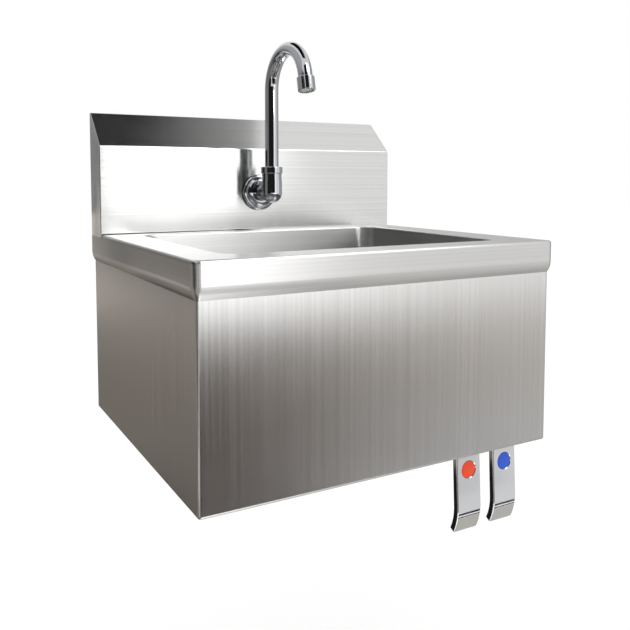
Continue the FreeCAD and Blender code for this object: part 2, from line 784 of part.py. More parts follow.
def faucet_wall_fittings():
    """What clamps the elbow to the backsplash, from the front cover to the locknut behind."""
    face = {"y": "-splash_depth", "z": "faucet_height"}
    behind = {"y": SPLASH_BACK, "z": "faucet_height", "facing": FACING_BACK}
    bore = "arm_radius + escutcheon_clearance"
    base = "gasket_thickness"
    cover = turned("escutcheon", [
        (bore, base),
        ("escutcheon_radius", base),
        ("escutcheon_radius", f"{base} + escutcheon_edge"),
        (
            "escutcheon_step_radius", f"{base} + escutcheon_step",
            "escutcheon_radius - escutcheon_step_radius", LEFT_TURN,
        ),
        (
            "escutcheon_crown_radius", f"{base} + escutcheon_height",
            "escutcheon_step_radius - escutcheon_crown_radius + escutcheon_edge", LEFT_TURN,
        ),
        (bore, f"{base} + escutcheon_height"),
    ])
    hole = "shank_radius + washer_clearance"
    gasket = ring("escutcheon_gasket", hole, "escutcheon_radius - gasket_inset", "0", base)
    washer = ring("shank_washer", hole, "washer_radius", "0", "washer_thickness")
    nut = hex_nut("shank_locknut", "locknut_flats", "locknut_length", "shank_radius + running_fit")
    return [
        place(cover, facing=FACING_FRONT, **face),
        place(gasket, facing=FACING_FRONT, **face),
        place(washer, **behind),
        place(nut, y=f"{SPLASH_BACK} + washer_thickness", z="faucet_height", facing=FACING_BACK),
    ]


def supply_elbow():
    """Elbow behind the backsplash that joins the mixed-water tube to the faucet's shank."""
    body = new_body("supply_elbow")
    barrel = [
        ("0", "-supply_socket"), ("supply_radius", "-supply_socket"), ("supply_radius", "0"),
        ("0", "supply_radius", "supply_radius", LEFT_TURN),
    ]
    revolve("Revolution", body, draw(body, "XY_Plane", "supply_barrel", [barrel]))
    arm = rectangle("0", "0", "supply_arm", "supply_arm_radius")
    revolve("Revolution", body, draw(body, "XY_Plane", "supply_arm_section", [arm]), "H_Axis")
    shank_end = "(shank_length + supply_setback - splash_depth + running_fit)"
    socket = rectangle("0", "-supply_socket - cut_overrun", "shank_radius + running_fit", shank_end)
    revolve("Groove", body, draw(body, "XY_Plane", "supply_socket_section", [socket]))
    inner, outer = "(supply_arm - pipe_socket)", "supply_arm + cut_overrun"
    bore = [
        ("0", "0"), (outer, "0"), (outer, "pipe_radius + running_fit"),
        (inner, "pipe_radius + running_fit"), (inner, "pipe_radius - pipe_wall"),
        ("0", "pipe_radius - pipe_wall"),
    ]
    revolve("Groove", body, draw(body, "XY_Plane", "supply_bore", [bore]), "H_Axis")
    return place(body, y="-supply_setback", z="faucet_height")


def spout_tube():
    """Gooseneck tube with the collar that the spout nut holds down."""
    body = new_body("spout_tube")
    start = "(bend_height - faucet_height)"
    half_turn, whole_turn = "(arch_angle / 2 * 1 deg)", "(arch_angle * 1 deg)"

    def on_arch(turn):
        return f"(arch_radius * (cos({turn}) - 1))", f"({start} + arch_radius * sin({turn}))"

    end = on_arch(whole_turn)
    path = [
        ("0", "socket_floor + spout_foot"),
        ("0", start),
        (*on_arch(half_turn), "arch_radius", LEFT_TURN),
        (*end, "arch_radius", LEFT_TURN),
        (f"{end[0]} - spout_straight_end * sin({whole_turn})",
         f"{end[1]} + spout_straight_end * cos({whole_turn})"),
    ]
    line = draw(body, "YZ_Plane", "spout_path", [path], closed=False)
    wall = draw(
        body, "XY_Plane", "spout_wall", lift="socket_floor + spout_foot",
        circles=[("0", "0", "tube_radius"), ("0", "0", "tube_radius - tube_wall")],
    )
    sweep(body, wall, line)
    low = f"({NECK_TOP} + collar_gap)"
    collar = rectangle("tube_radius - tube_wall / 2", low, "collar_radius", f"{low} + collar_height")
    revolve("Revolution", body, draw(body, "XZ_Plane", "spout_collar", [collar]))
    return place(body, y=COLUMN, z="faucet_height")


def spout_bearing():
    """Nut, bush and O-rings that hold the spout and let it turn."""
    base = {"y": COLUMN, "z": "faucet_height"}
    roof = f"({NECK_TOP} + collar_gap + collar_height + collar_gap)"
    top = f"({roof} + spout_nut_roof)"
    waist = f"((elbow_shoulder + {top}) / 2)"
    hole = "tube_radius + spout_nut_clearance"
    thread = "elbow_neck_radius + running_fit"
    edge = "spout_nut_edge"
    nut = turned("spout_nut", [
        (thread, "elbow_shoulder"),
        ("spout_nut_waist", "elbow_shoulder"),
        ("spout_nut_waist", waist),
        (f"spout_nut_radius - {edge}", waist),
        ("spout_nut_radius", f"{waist} + {edge}", edge, LEFT_TURN),
        ("spout_nut_radius", f"{top} - {edge}"),
        (f"spout_nut_radius - {edge}", top, edge, LEFT_TURN),
        (hole, top),
        (hole, roof),
        (thread, roof),
    ])
    bush = ring(
        "spout_bush", "tube_radius + running_fit", "socket_radius - running_fit",
        f"{NECK_TOP} - bush_height", NECK_TOP,
    )
    rings = []
    for name, height in (("lower", "1"), ("upper", "2")):
        seal = doc.addObject("Part::Torus", f"{name}_spout_ring")
        seal.setExpression("Radius1", sized("(tube_radius + socket_radius) / 2"))
        seal.setExpression("Radius2", sized("ring_thickness / 2"))
        rings.append(place(seal, y=COLUMN, z=f"faucet_height + socket_floor + {height} * ring_spacing"))
    return [place(nut, **base), place(bush, **base), group("spout_o_rings", rings)]


def aerator():
    """Outlet end of the spout: a screwed housing, a sealing washer and a perforated insert."""
    turn = "(arch_angle * 1 deg)"
    spot = {
        "y": f"{COLUMN} + arch_radius * (cos({turn}) - 1) - spout_straight_end * sin({turn})",
        "z": f"bend_height + arch_radius * sin({turn}) + spout_straight_end * cos({turn})",
    }
    tilt = FreeCAD.Rotation(FreeCAD.Vector(1, 0, 0), value("arch_angle") - 180)
    bore, lip = "tube_radius + running_fit", "(aerator_lip - aerator_drop)"
    edge = "aerator_edge"
    housing = turned("aerator_housing", [
        (bore, "aerator_cover"),
        (bore, "0"),
        ("aerator_bore_radius", "0"),
        ("aerator_bore_radius", lip),
        ("aerator_mouth_radius", lip),
        ("aerator_mouth_radius", "-aerator_drop"),
        (f"aerator_radius - {edge}", "-aerator_drop"),
        ("aerator_radius", f"-aerator_drop + {edge}", edge, LEFT_TURN),
        ("aerator_radius", f"aerator_cover - {edge}"),
        (f"aerator_radius - {edge}", "aerator_cover", edge, LEFT_TURN),
    ])
    outer = "aerator_bore_radius - running_fit"
    washer = ring("aerator_washer", "aerator_washer_hole", outer, "-aerator_washer_thickness", "0")
    insert = ring("aerator_insert", "jet_radius", outer, lip, "-aerator_washer_thickness")
    circles = (
        ("inner", "jet_circle_radius", JETS_PER_RING),
        ("outer", "outer_jet_circle_radius", 2 * JETS_PER_RING),
    )
    for name, radius, count in circles:
        jet = draw(insert, "XY_Plane", f"{name}_jet", circles=[(radius, "0", "jet_radius")])
        cut = extrude("Pocket", insert, jet, "aerator_drop + cut_overrun")
        repeat_round(insert, cut, count)
    return [place(piece, facing=tilt, **spot) for piece in (housing, washer, insert)]


def mixed_water_tube():
    """Bent tube from the valve's outlet, up behind the bowl, to the elbow behind the backsplash."""
    outlet = f"({BLOCK_MIDDLE} + block_depth / 2 + outlet_boss - pipe_socket + pipe_end_gap)"
    corners = [
        ("supply_arm - pipe_socket + pipe_end_gap", "-supply_setback", "faucet_height"),
        (VALVE_MIDDLE, "-supply_setback", "faucet_height"),
        (VALVE_MIDDLE, "-supply_setback", VALVE_HEIGHT),
        (VALVE_MIDDLE, outlet, VALVE_HEIGHT),
    ]
    points = [FreeCAD.Vector(*(value(length) for length in corner)) for corner in corners]
    bend = value("pipe_bend_radius")
    edges = []
    here = points[0]
    for before, corner, after in zip(points, points[1:], points[2:]):
        into = (corner - before).normalize()
        out_of = (after - corner).normalize()
        start, end = corner - into * bend, corner + out_of * bend
        middle = corner + (out_of - into) * (bend * (1 - math.sqrt(0.5)))
        edges += [Part.LineSegment(here, start).toShape(), Part.Arc(start, middle, end).toShape()]
        here = end
    edges.append(Part.LineSegment(here, points[-1]).toShape())
    path = Part.Wire(edges)
    along = points[1] - points[0]
    solids = []
    for radius in (value("pipe_radius"), value("pipe_radius - pipe_wall")):
        section = Part.Wire(Part.makeCircle(radius, points[0], along))
        solids.append(path.makePipeShell([section], True, False))
    tube = doc.addObject("Part::Feature", "mixed_water_tube")
    tube.Shape = solids[0].cut(solids[1])
    place(tube)

    nuts = []
    boss_end = f"{BLOCK_MIDDLE} + block_depth / 2 + outlet_boss"
    ends = (
        ("upper", ("supply_arm", "-supply_setback", "faucet_height", FACING_RIGHT)),
        ("lower", (VALVE_MIDDLE, boss_end, VALVE_HEIGHT, FACING_BACK)),
    )
    for name, spot in ends:
        nut = hex_nut(f"{name}_tube_nut", "pipe_nut_flats", "pipe_nut_length", "pipe_radius + running_fit")
        nuts.append(place(nut, *spot))
    return [tube, group("tube_nuts", nuts)]


# Drain


def drain():
    """Waste fitting in the bowl floor, from its flange down to the tailpiece, and its strainer."""
    spot = {"y": BOWL_MIDDLE, "z": FLOOR}
    flange_top = "drain_flange_height"
    body = turned("drain_body", [
        ("drain_flange_radius", "0"),
        ("drain_flange_radius", "drain_flange_edge"),
        ("drain_flange_radius - drain_flange_slope", flange_top),
        ("drain_seat_radius", flange_top),
        ("drain_seat_radius", "-drain_seat_drop"),
        ("drain_bore_radius", "-drain_seat_drop"),
        ("drain_bore_radius", "-drain_bore_depth"),
        ("drain_outlet_bore", "-drain_bore_depth"),
        ("drain_outlet_bore", "-drain_drop"),
        ("drain_outlet_radius", "-drain_drop"),
        ("drain_outlet_radius", "-drain_shoulder_drop"),
        ("drain_thread_radius", "-drain_shoulder_drop"),
        ("drain_thread_radius", "0"),
    ])
    under = "(-sheet_thickness)"
    gasket_low = f"({under} - drain_gasket_thickness)"
    washer_low = f"({gasket_low} - drain_washer_thickness)"
    nut_low = f"({washer_low} - drain_nut_length)"
    gasket = ring("drain_gasket", DRAIN_HOLE, "drain_gasket_radius", gasket_low, under)
    washer = ring("drain_washer", DRAIN_HOLE, "drain_gasket_radius", washer_low, gasket_low)
    thread = "drain_thread_radius + running_fit"
    nut = ring("drain_locknut", thread, "drain_nut_radius", nut_low, washer_low)
    half_lug = "drain_lug_width / 2"
    lug = rectangle(f"drain_nut_radius - {half_lug}", f"-{half_lug}", "drain_lug_reach", half_lug)
    lug_outline = draw(nut, "XY_Plane", "locknut_lug", [lug], lift=nut_low)
    repeat_round(nut, extrude("Pad", nut, lug_outline, "drain_nut_length"), DRAIN_LUGS)

    washer_bottom = "(-drain_drop - tail_washer_thickness)"
    flange_bottom = f"({washer_bottom} - tail_flange_thickness)"
    tail_bottom = f"(-tail_bottom_drop - {FLOOR})"
    tail_washer = ring(
        "tailpiece_washer", "drain_outlet_bore", "tail_flange_radius", washer_bottom, "-drain_drop"
    )
    lip_low = f"({flange_bottom} - tail_nut_lip)"
    tail = turned("tailpiece", [
        ("tail_radius - tail_wall", washer_bottom),
        ("tail_radius - tail_wall", tail_bottom),
        ("tail_radius", tail_bottom),
        ("tail_radius", f"{lip_low} - tail_relief_below_nut"),
        ("tail_radius - tail_relief", f"{lip_low} - tail_relief_below_nut"),
        ("tail_radius - tail_relief", flange_bottom),
        ("tail_flange_radius", flange_bottom),
        ("tail_flange_radius", washer_bottom),
    ])
    nut_top = f"({lip_low} + tail_nut_length)"
    tail_nut = new_body("tailpiece_nut")
    outline = draw(
        tail_nut, "XY_Plane", "tail_nut_outline", [hexagon("tail_nut_flats")],
        [("0", "0", "tail_radius + running_fit")], lift=lip_low,
    )
    extrude("Pad", tail_nut, outline, "tail_nut_length")
    tap = rectangle("0", flange_bottom, "drain_outlet_radius + running_fit", f"{nut_top} + cut_overrun")
    revolve("Groove", tail_nut, draw(tail_nut, "XZ_Plane", "tail_nut_thread", [tap]))

    wall = "strainer_wall"
    seat = "(-drain_seat_drop)"
    cup_radius = f"(drain_bore_radius - {wall} / 2)"
    cup = turned("strainer_cup", [
        ("0", "-strainer_depth"),
        (cup_radius, "-strainer_depth"),
        (cup_radius, seat),
        ("drain_seat_radius - washer_clearance", seat),
        ("drain_seat_radius - washer_clearance", f"{seat} + {wall}"),
        (f"{cup_radius} - {wall}", f"{seat} + {wall}"),
        (f"{cup_radius} - {wall}", f"-strainer_depth + {wall}"),
        ("0", f"-strainer_depth + {wall}"),
    ])
    for name, radius in (("outer", "strainer_circle_radius"), ("inner", "strainer_inner_circle_radius")):
        perforation = draw(
            cup, "XY_Plane", f"{name}_perforation", circles=[(radius, "0", "strainer_hole_radius")]
        )
        cut = extrude("Pocket", cup, perforation, "strainer_depth + cut_overrun")
        repeat_round(cup, cut, STRAINER_HOLES)
    knob_low = "(-strainer_knob_top - strainer_knob_height)"
    knob = turned("strainer_knob", [
        ("0", f"-strainer_depth + {wall}"),
        ("strainer_post_radius", f"-strainer_depth + {wall}"),
        ("strainer_post_radius", knob_low),
        ("strainer_knob_radius", f"{knob_low} + strainer_knob_height / 2"),
        ("strainer_knob_radius", "-strainer_knob_top - strainer_wall"),
        ("strainer_knob_radius - strainer_wall", "-strainer_knob_top", wall, LEFT_TURN),
        ("0", "-strainer_knob_top"),
    ])
    pieces = (body, gasket, washer, nut, tail_washer, tail, tail_nut, cup, knob)
    return [place(piece, **spot) for piece in pieces]


# Knee pedals


def pedal(name, across):
    """Cast knee pedal: an eye on the pivot pin, a flat bar that leans forward and a tip that curves back."""
    body = new_body(f"{name}_pedal")
    half = "(pedal_thickness / 2)"
    drop = "(pedal_length - pedal_straight)"
    curve = f"((pedal_tip_setback ^ 2 + {drop} ^ 2) / (2 * pedal_tip_setback))"
    angle = f"asin({drop} / {curve})"
    back_curve = f"({curve} - pedal_thickness)"
    back_end = (
        f"{curve} - {half} - {back_curve} * cos({angle})", f"-pedal_straight - {back_curve} * sin({angle})",
    )
    side = [
        (f"-{half}", "0"),
        (f"-{half}", "-pedal_straight"),
        (f"-{half} + pedal_tip_setback", "-pedal_length", curve, LEFT_TURN),
        back_end,
        (half, "-pedal_straight", back_curve, RIGHT_TURN),
        (half, "0"),
    ]
    bar = draw(body, "YZ_Plane", f"{name}_pedal_side", [side])
    extrude("Pad", body, bar, "pedal_tip_width", sides="Symmetric")
    outside = "(pedal_tip_width / 2 + cut_overrun)"
    for edge, sign in (("left", "-"), ("right", "")):
        flare = [
            (f"{sign}pedal_top_width / 2", "cut_overrun"),
            (f"{sign}pedal_top_width / 2", "0"),
            (f"{sign}pedal_tip_width / 2", "-pedal_length"),
            (f"{sign}{outside}", "-pedal_length"),
            (f"{sign}{outside}", "cut_overrun"),
        ]
        sketch = draw(body, "XZ_Plane", f"{name}_pedal_{edge}_flare", [flare])
        extrude("Pocket", body, sketch, "4 * (pedal_tip_setback + pedal_thickness)", sides="Symmetric")
    corner, tip = value("pedal_tip_width / 2"), value("pedal_length")
    straight, front, radius = value("pedal_straight"), -value(half), value(curve)

    def at_tip(spot):
        return spot.z < -TIP_ZONE_SHARE * tip

    def tip_corner(edge):
        centre = edge.CenterOfMass
        near = SIDE_ZONE_SHARE * corner
        runs_back = abs(edge.Vertexes[0].X - edge.Vertexes[-1].X) < near
        return runs_back and abs(abs(centre.x) - corner) < near and at_tip(centre)

    round_edges(body, "pedal_tip_radius", tip_corner)

    def on_front(spot):
        if spot.z > -straight:
            return abs(spot.y - front) < SEARCH_TOLERANCE
        return abs(math.hypot(spot.y - front - radius, spot.z + straight) - radius) < SEARCH_TOLERANCE

    def front_edge(edge):
        centre = edge.CenterOfMass
        beside = abs(centre.x) > corner / 2
        return (beside or at_tip(centre)) and all(on_front(vertex.Point) for vertex in edge.Vertexes)

    round_edges(body, "pedal_edge_radius", front_edge)
    eye = draw(body, "YZ_Plane", f"{name}_pedal_eye", circles=[("0", "0", "pedal_eye_radius")])
    extrude("Pad", body, eye, "pedal_top_width", sides="Symmetric")
    bore = draw(
        body, "YZ_Plane", f"{name}_pedal_bore", circles=[("0", "0", "pivot_pin_radius + running_fit")]
    )
    extrude("Pocket", body, bore, "pedal_top_width + cut_overrun", sides="Symmetric")
    recess = draw(
        body, "XZ_Plane", f"{name}_disc_recess", lift=half,
        circles=[("0", "-disc_drop", "disc_radius + running_fit")],
    )
    extrude("Pocket", body, recess, "disc_recess")
    disc_height, disc_edge = -value("disc_drop"), value("disc_radius + running_fit")

    def recess_rim(edge):
        centre = edge.CenterOfMass
        if edge.Curve.TypeId != "Part::GeomCircle":
            return False
        misses = (edge.Curve.Radius - disc_edge, centre.y - front, centre.z - disc_height)
        return max(abs(miss) for miss in misses) < SEARCH_TOLERANCE

    round_edges(body, "disc_bevel", recess_rim, "Chamfer")
    lean = FreeCAD.Rotation(FreeCAD.Vector(1, 0, 0), -value("pedal_lean"))
    place(body, across, PIVOT_DEPTH, PIVOT_HEIGHT, lean)

    crown = "((disc_radius ^ 2 + disc_crown ^ 2) / (2 * disc_crown))"
    disc = turned(f"{name}_index", [
        ("0", "0"),
        ("disc_radius", "0"),
        ("disc_radius", "disc_thickness"),
        ("0", "disc_thickness + disc_crown", crown, LEFT_TURN),
    ])
    seat = f"({half} - disc_recess)"
    place(
        disc, across,
        f"{PIVOT_DEPTH} - {seat} * cos({LEAN}) - disc_drop * sin({LEAN})",
        f"{PIVOT_HEIGHT} + {seat} * sin({LEAN}) - disc_drop * cos({LEAN})",
        lean.multiply(FACING_FRONT),
    )
    return [body, disc]


def pedal_pivot():
    """Pin, spacers and clips that carry both pedals between the bracket's ears."""
    spot = {"y": PIVOT_DEPTH, "z": PIVOT_HEIGHT, "facing": FACING_RIGHT}
    ear = "(bracket_inner_width / 2 + valve_bracket_sheet)"
    end = f"({ear} + pin_overhang)"
    radius, chamfer = "pivot_pin_radius", "pin_chamfer"
    shaft = turned("pivot_pin", [
        ("0", f"-{end}"),
        (f"{radius} - {chamfer}", f"-{end}"),
        (radius, f"-{end} + {chamfer}"),
        (radius, f"{end} - {chamfer}"),
        (f"{radius} - {chamfer}", end),
        ("0", end),
    ])
    bore = f"{radius} + running_fit"
    pedal_inside = "(pedal_spacing / 2 - pedal_top_width / 2 - side_play)"
    pedal_outside = "(pedal_spacing / 2 + pedal_top_width / 2 + side_play)"
    spans = [
        ("middle", f"-{pedal_inside}", pedal_inside),
        ("right", pedal_outside, "bracket_inner_width / 2"),
        ("left", "-bracket_inner_width / 2", f"-{pedal_outside}"),
    ]
    spacers = [ring(f"{name}_spacer", bore, "spacer_radius", low, high) for name, low, high in spans]
    clips = [
        ring("left_clip", bore, "clip_radius", f"-{ear} - clip_thickness", f"-{ear}"),
        ring("right_clip", bore, "clip_radius", ear, f"{ear} + clip_thickness"),
    ]
    for piece in [shaft, *spacers, *clips]:
        place(piece, VALVE_MIDDLE, **spot)
    return [shaft, group("pivot_spacers", spacers), group("pin_clips", clips)]


# Knee valve


def valve_bracket():
    """Channel welded inside the skirt's front, whose ears carry the pivot pin and the valve."""
    body = new_body("valve_bracket")
    sheet_size, bend = "valve_bracket_sheet", "valve_bracket_bend"
    outer, inner = f"(bracket_inner_width / 2 + {sheet_size})", "(bracket_inner_width / 2)"
    reach = "valve_bracket_reach"
    inner_bend = f"({bend} - {sheet_size})"
    channel = [
        (f"-{outer}", reach),
        (f"-{outer}", bend),
        (f"-{outer} + {bend}", "0", bend, LEFT_TURN),
        (f"{outer} - {bend}", "0"),
        (outer, bend, bend, LEFT_TURN),
        (outer, reach),
        (inner, reach),
        (inner, bend),
        (f"{outer} - {bend}", sheet_size, inner_bend, RIGHT_TURN),
        (f"-{outer} + {bend}", sheet_size),
        (f"-{inner}", bend, inner_bend, RIGHT_TURN),
        (f"-{inner}", reach),
    ]
    outline = draw(body, "XY_Plane", "channel_outline", [channel], lift="-valve_bracket_below_axis")
    extrude("Pad", body, outline, "valve_bracket_above_axis + valve_bracket_below_axis")
    block = f"({BLOCK_MIDDLE} - {SKIRT_INSIDE})"
    screw_height = "(block_above_axis - block_below_axis) / 2"
    holes = [(f"{PIVOT_DEPTH} - {SKIRT_INSIDE}", "lever_arm", "pivot_pin_radius + running_fit")]
    for sign in ("-", "+"):
        across = f"{block} {sign} valve_screw_spacing / 2"
        holes.append((across, screw_height, "valve_screw_radius + running_fit"))
    drill = draw(body, "YZ_Plane", "ear_holes", circles=holes)
    extrude("Pocket", body, drill, "bracket_inner_width + 4 * valve_bracket_sheet", sides="Symmetric")
    return place(body, VALVE_MIDDLE, SKIRT_INSIDE, VALVE_HEIGHT)


def valve_body():
    """Brass block with two plunger barrels, an outlet boss and two inlet sockets."""
    body = new_body("valve_body")
    half_depth = "(block_depth / 2)"
    length = "(bracket_inner_width - 2 * block_end_gap)"
    shape = rounded_rectangle(
        f"-{half_depth}", "(-block_below_axis)", half_depth, "block_above_axis", "block_edge_radius"
    )
    extrude("Pad", body, draw(body, "YZ_Plane", "block_section", [shape]), length, sides="Symmetric")
    spots = [f"{sign} * pedal_spacing / 2" for sign in (-1, 1)]
    barrels = draw(body, "XZ_Plane", "barrels", circles=[(spot, "0", "barrel_radius") for spot in spots])
    extrude("Pad", body, barrels, f"{half_depth} + barrel_length")
    boss = draw(body, "XZ_Plane", "outlet_boss_outline", circles=[("0", "0", "outlet_boss_radius")])
    extrude("Pad", body, boss, f"{half_depth} + outlet_boss", backwards=True)
    bore = "barrel_bore_radius + running_fit"
    bores = draw(
        body, "XZ_Plane", "barrel_bores", circles=[(spot, "0", bore) for spot in spots],
        lift=f"{half_depth} + barrel_length",
    )
    extrude("Pocket", body, bores, "barrel_bore_depth")
    cross = draw(body, "YZ_Plane", "cross_bore", circles=[("0", "0", "valve_waterway_radius")])
    extrude("Pocket", body, cross, "pedal_spacing", sides="Symmetric")
    outlet = draw(body, "XZ_Plane", "outlet_bore", circles=[("0", "0", "pipe_radius - pipe_wall")])
    extrude("Pocket", body, outlet, f"{half_depth} + outlet_boss + cut_overrun")
    socket = draw(
        body, "XZ_Plane", "outlet_socket", circles=[("0", "0", "pipe_radius + running_fit")],
        lift=f"-{half_depth} - outlet_boss",
    )
    extrude("Pocket", body, socket, "pipe_socket", backwards=True)
    for name, radius, depth in (
        ("inlet_socket", "inlet_spigot_radius + running_fit", "inlet_spigot + running_fit"),
        ("inlet_bore", "inlet_bore_radius", "block_below_axis"),
    ):
        circles = [(spot, "0", radius) for spot in spots]
        sketch = draw(body, "XY_Plane", name, circles=circles, lift="-block_below_axis")
        extrude("Pocket", body, sketch, depth, backwards=True)
    screw_height = "(block_above_axis - block_below_axis) / 2"
    taps = [
        (f"{sign} * valve_screw_spacing / 2", screw_height, "valve_screw_radius + running_fit")
        for sign in (-1, 1)
    ]
    for name, sign, way in (("left", "-", True), ("right", "", False)):
        sketch = draw(body, "YZ_Plane", f"{name}_taps", circles=taps, lift=f"{sign}{length} / 2")
        extrude("Pocket", body, sketch, "valve_screw_depth + running_fit", backwards=way)
    return place(body, VALVE_MIDDLE, BLOCK_MIDDLE, VALVE_HEIGHT)


def valve_screws():
    """Four round-headed screws through the bracket's ears into the ends of the valve body."""
    screw_height = f"{VALVE_HEIGHT} + (block_above_axis - block_below_axis) / 2"
    ear = "(bracket_inner_width / 2 + valve_bracket_sheet)"
    tip = "(-valve_bracket_sheet - block_end_gap - valve_screw_depth)"
    screws = []
    for side, sign, facing in (("left", "-", FACING_LEFT), ("right", "+", FACING_RIGHT)):
        for end, step in (("front", "-"), ("back", "+")):
            screw = turned(f"{side}_{end}_screw", [
                ("0", tip),
                ("valve_screw_radius", tip),
                ("valve_screw_radius", "0"),
                ("valve_screw_head_radius", "0"),
                ("valve_screw_head_radius", "valve_screw_head / 2"),
                ("valve_screw_head_radius - valve_screw_head / 2", "valve_screw_head",
                 "valve_screw_head / 2", LEFT_TURN),
                ("0", "valve_screw_head"),
            ])
            depth = f"{BLOCK_MIDDLE} {step} valve_screw_spacing / 2"
            screws.append(place(screw, f"{VALVE_MIDDLE} {sign} {ear}", depth, screw_height, facing))
    return group("valve_screws", screws)


def spring_path(radius, rise, turns):
    """A helix drawn as pairs of arcs, two for each quarter turn, that meet without a kink."""
    def on_helix(angle):
        return FreeCAD.Vector(
            radius * math.cos(angle), radius * math.sin(angle), rise * angle / (2 * math.pi * turns)
        )

    def heading(angle):
        climb = rise / (2 * math.pi * turns)
        return FreeCAD.Vector(-radius * math.sin(angle), radius * math.cos(angle), climb).normalize()

    def arc(start, control, end):
        middle = (start + end) * 0.5
        half_chord = (end - start).Length / 2
        turn = (control - start).getAngle(end - control)
        crown = middle + (control - middle).normalize() * (half_chord * math.tan(turn / 4))
        return Part.Arc(start, crown, end).toShape()

    edges = []
    for quarter in range(4 * turns):
        first, last = quarter * math.pi / 2, (quarter + 1) * math.pi / 2
        start, end = on_helix(first), on_helix(last)
        leave, arrive = heading(first), heading(last)
        span, both = end - start, leave + arrive
        bend = 2 * (1 - leave.dot(arrive))
        reach = (math.sqrt(span.dot(both) ** 2 + bend * span.dot(span)) - span.dot(both)) / bend
        first_control, last_control = start + leave * reach, end - arrive * reach
        joint = (first_control + last_control) * 0.5
        edges += [arc(start, first_control, joint), arc(joint, last_control, end)]
    return Part.Wire(edges), on_helix(0), heading(0)


def least_gap(path, wire):
    """The least gap between the turns of a wound wire, measured between points on its middle line."""
    spots = path.discretize(Number=POINTS_PER_TURN * SPRING_TURNS)
    apart = [
        (far - near).Length
        for index, near in enumerate(spots)
        for far in spots[index + POINTS_PER_TURN // 2:]
    ]
    return min(apart) - wire


def cartridge(name, across):
    """One push cartridge, its bonnet, plunger, stem seal and return spring, and the inlet under it."""
    spot = {"x": across, "y": BARREL_FACE, "z": VALVE_HEIGHT, "facing": FACING_BACK}
    stem = "stem_radius + running_fit"
    recess_start = "(bonnet_spigot - bonnet_recess)"
    recess_radius = "(stem_radius + stem_seal_thickness + 3 * running_fit)"
    bonnet = new_body(f"{name}_bonnet")
    head = draw(
        bonnet, "XY_Plane", f"{name}_bonnet_head", [hexagon("bonnet_flats")], [("0", "0", stem)],
        lift="-bonnet_head",
    )
    extrude("Pad", bonnet, head, "bonnet_head")
    spigot = [
        (stem, "0"), ("barrel_bore_radius", "0"), ("barrel_bore_radius", "bonnet_spigot"),
        (recess_radius, "bonnet_spigot"), (recess_radius, recess_start), (stem, recess_start),
    ]
    revolve("Revolution", bonnet, draw(bonnet, "XZ_Plane", f"{name}_bonnet_spigot", [spigot]))

    tip = f"({PEDAL_BACK} + touch_gap / cos({LEAN}) + barrel_length - valve_gap)"
    piston = "(bonnet_spigot + touch_gap)"
    rod = f"({piston} + piston_length)"
    plunger = turned(f"{name}_plunger", [
        ("0", tip),
        ("stem_radius", f"{tip} + stem_radius", "stem_radius", LEFT_TURN),
        ("stem_radius", piston),
        ("piston_radius", piston),
        ("piston_radius", rod),
        ("tail_rod_radius", rod),
        ("tail_rod_radius", f"{rod} + tail_rod_length"),
        ("0", f"{rod} + tail_rod_length"),
    ])
    seal = doc.addObject("Part::Torus", f"{name}_seal")
    seal.setExpression("Radius1", sized("stem_radius + stem_seal_thickness / 2 + 2 * running_fit"))
    seal.setExpression("Radius2", sized("stem_seal_thickness / 2"))
    seal_depth = f"{BARREL_FACE} + {recess_start} + stem_seal_thickness / 2 + running_fit"
    place(seal, across, seal_depth, VALVE_HEIGHT, FACING_BACK)

    wire = value("spring_wire")
    low = f"({rod} + spring_wire / 2 + touch_gap)"
    high = "(barrel_bore_depth - spring_wire / 2 - touch_gap)"
    path, start, along = spring_path(value("spring_radius"), value(f"{high} - {low}"), SPRING_TURNS)
    section = Part.Wire(Part.makeCircle(wire / 2, start, along))
    spring = doc.addObject("Part::Feature", f"{name}_spring")
    spring.Shape = path.makePipeShell([section], True, False)
    place(spring, across, f"{BARREL_FACE} + {low}", VALVE_HEIGHT, FACING_BACK)
    print(f"{name}_spring: least gap between turns {least_gap(path, wire):.2f} mm")

    inlet = turned(f"{name}_inlet", [
        ("inlet_bore_radius", "inlet_spigot"),
        ("inlet_bore_radius", "-inlet_length"),
        ("inlet_thread_radius", "-inlet_length"),
        ("inlet_thread_radius", "0"),
        ("inlet_spigot_radius", "0"),
        ("inlet_spigot_radius", "inlet_spigot"),
    ])
    place(inlet, across, BLOCK_MIDDLE, f"{VALVE_HEIGHT} - block_below_axis")
    return [place(bonnet, **spot), place(plunger, **spot), seal, spring, inlet]


def build():
    """Every piece of the basin."""
    pieces = [basin_top(), backsplash(), skirt(), wall_bracket()]
    pieces += [faucet_elbow(), *faucet_wall_fittings(), supply_elbow()]
    pieces += [spout_tube(), *spout_bearing(), *aerator(), *mixed_water_tube()]
    pieces += drain()
    pieces += [valve_bracket(), valve_body(), valve_screws(), *pedal_pivot()]
    for name, across in PEDAL_SIDES.items():
        pieces += [*pedal(name, across), *cartridge(name, across)]
    return pieces


def check(pieces):
    """Stop if any object failed to build or any piece is not a sound solid."""
    failed = [thing.Label for thing in doc.Objects if {"Invalid", "Error"} & set(thing.State)]
    if failed:
        raise RuntimeError(f"failed objects: {failed}")
    for piece in pieces:
        if piece.Shape.isNull() or not piece.Shape.isValid() or not piece.Shape.Solids:
            raise RuntimeError(f"{piece.Label} is not a sound solid")


os.makedirs("parts", exist_ok=True)
all_pieces = build()
doc.recompute()
check(all_pieces)
for finished in all_pieces:
    finished.Shape.exportStep(f"parts/{finished.Label}.step")
print(f"{len(all_pieces)} pieces written")
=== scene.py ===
import json
import math

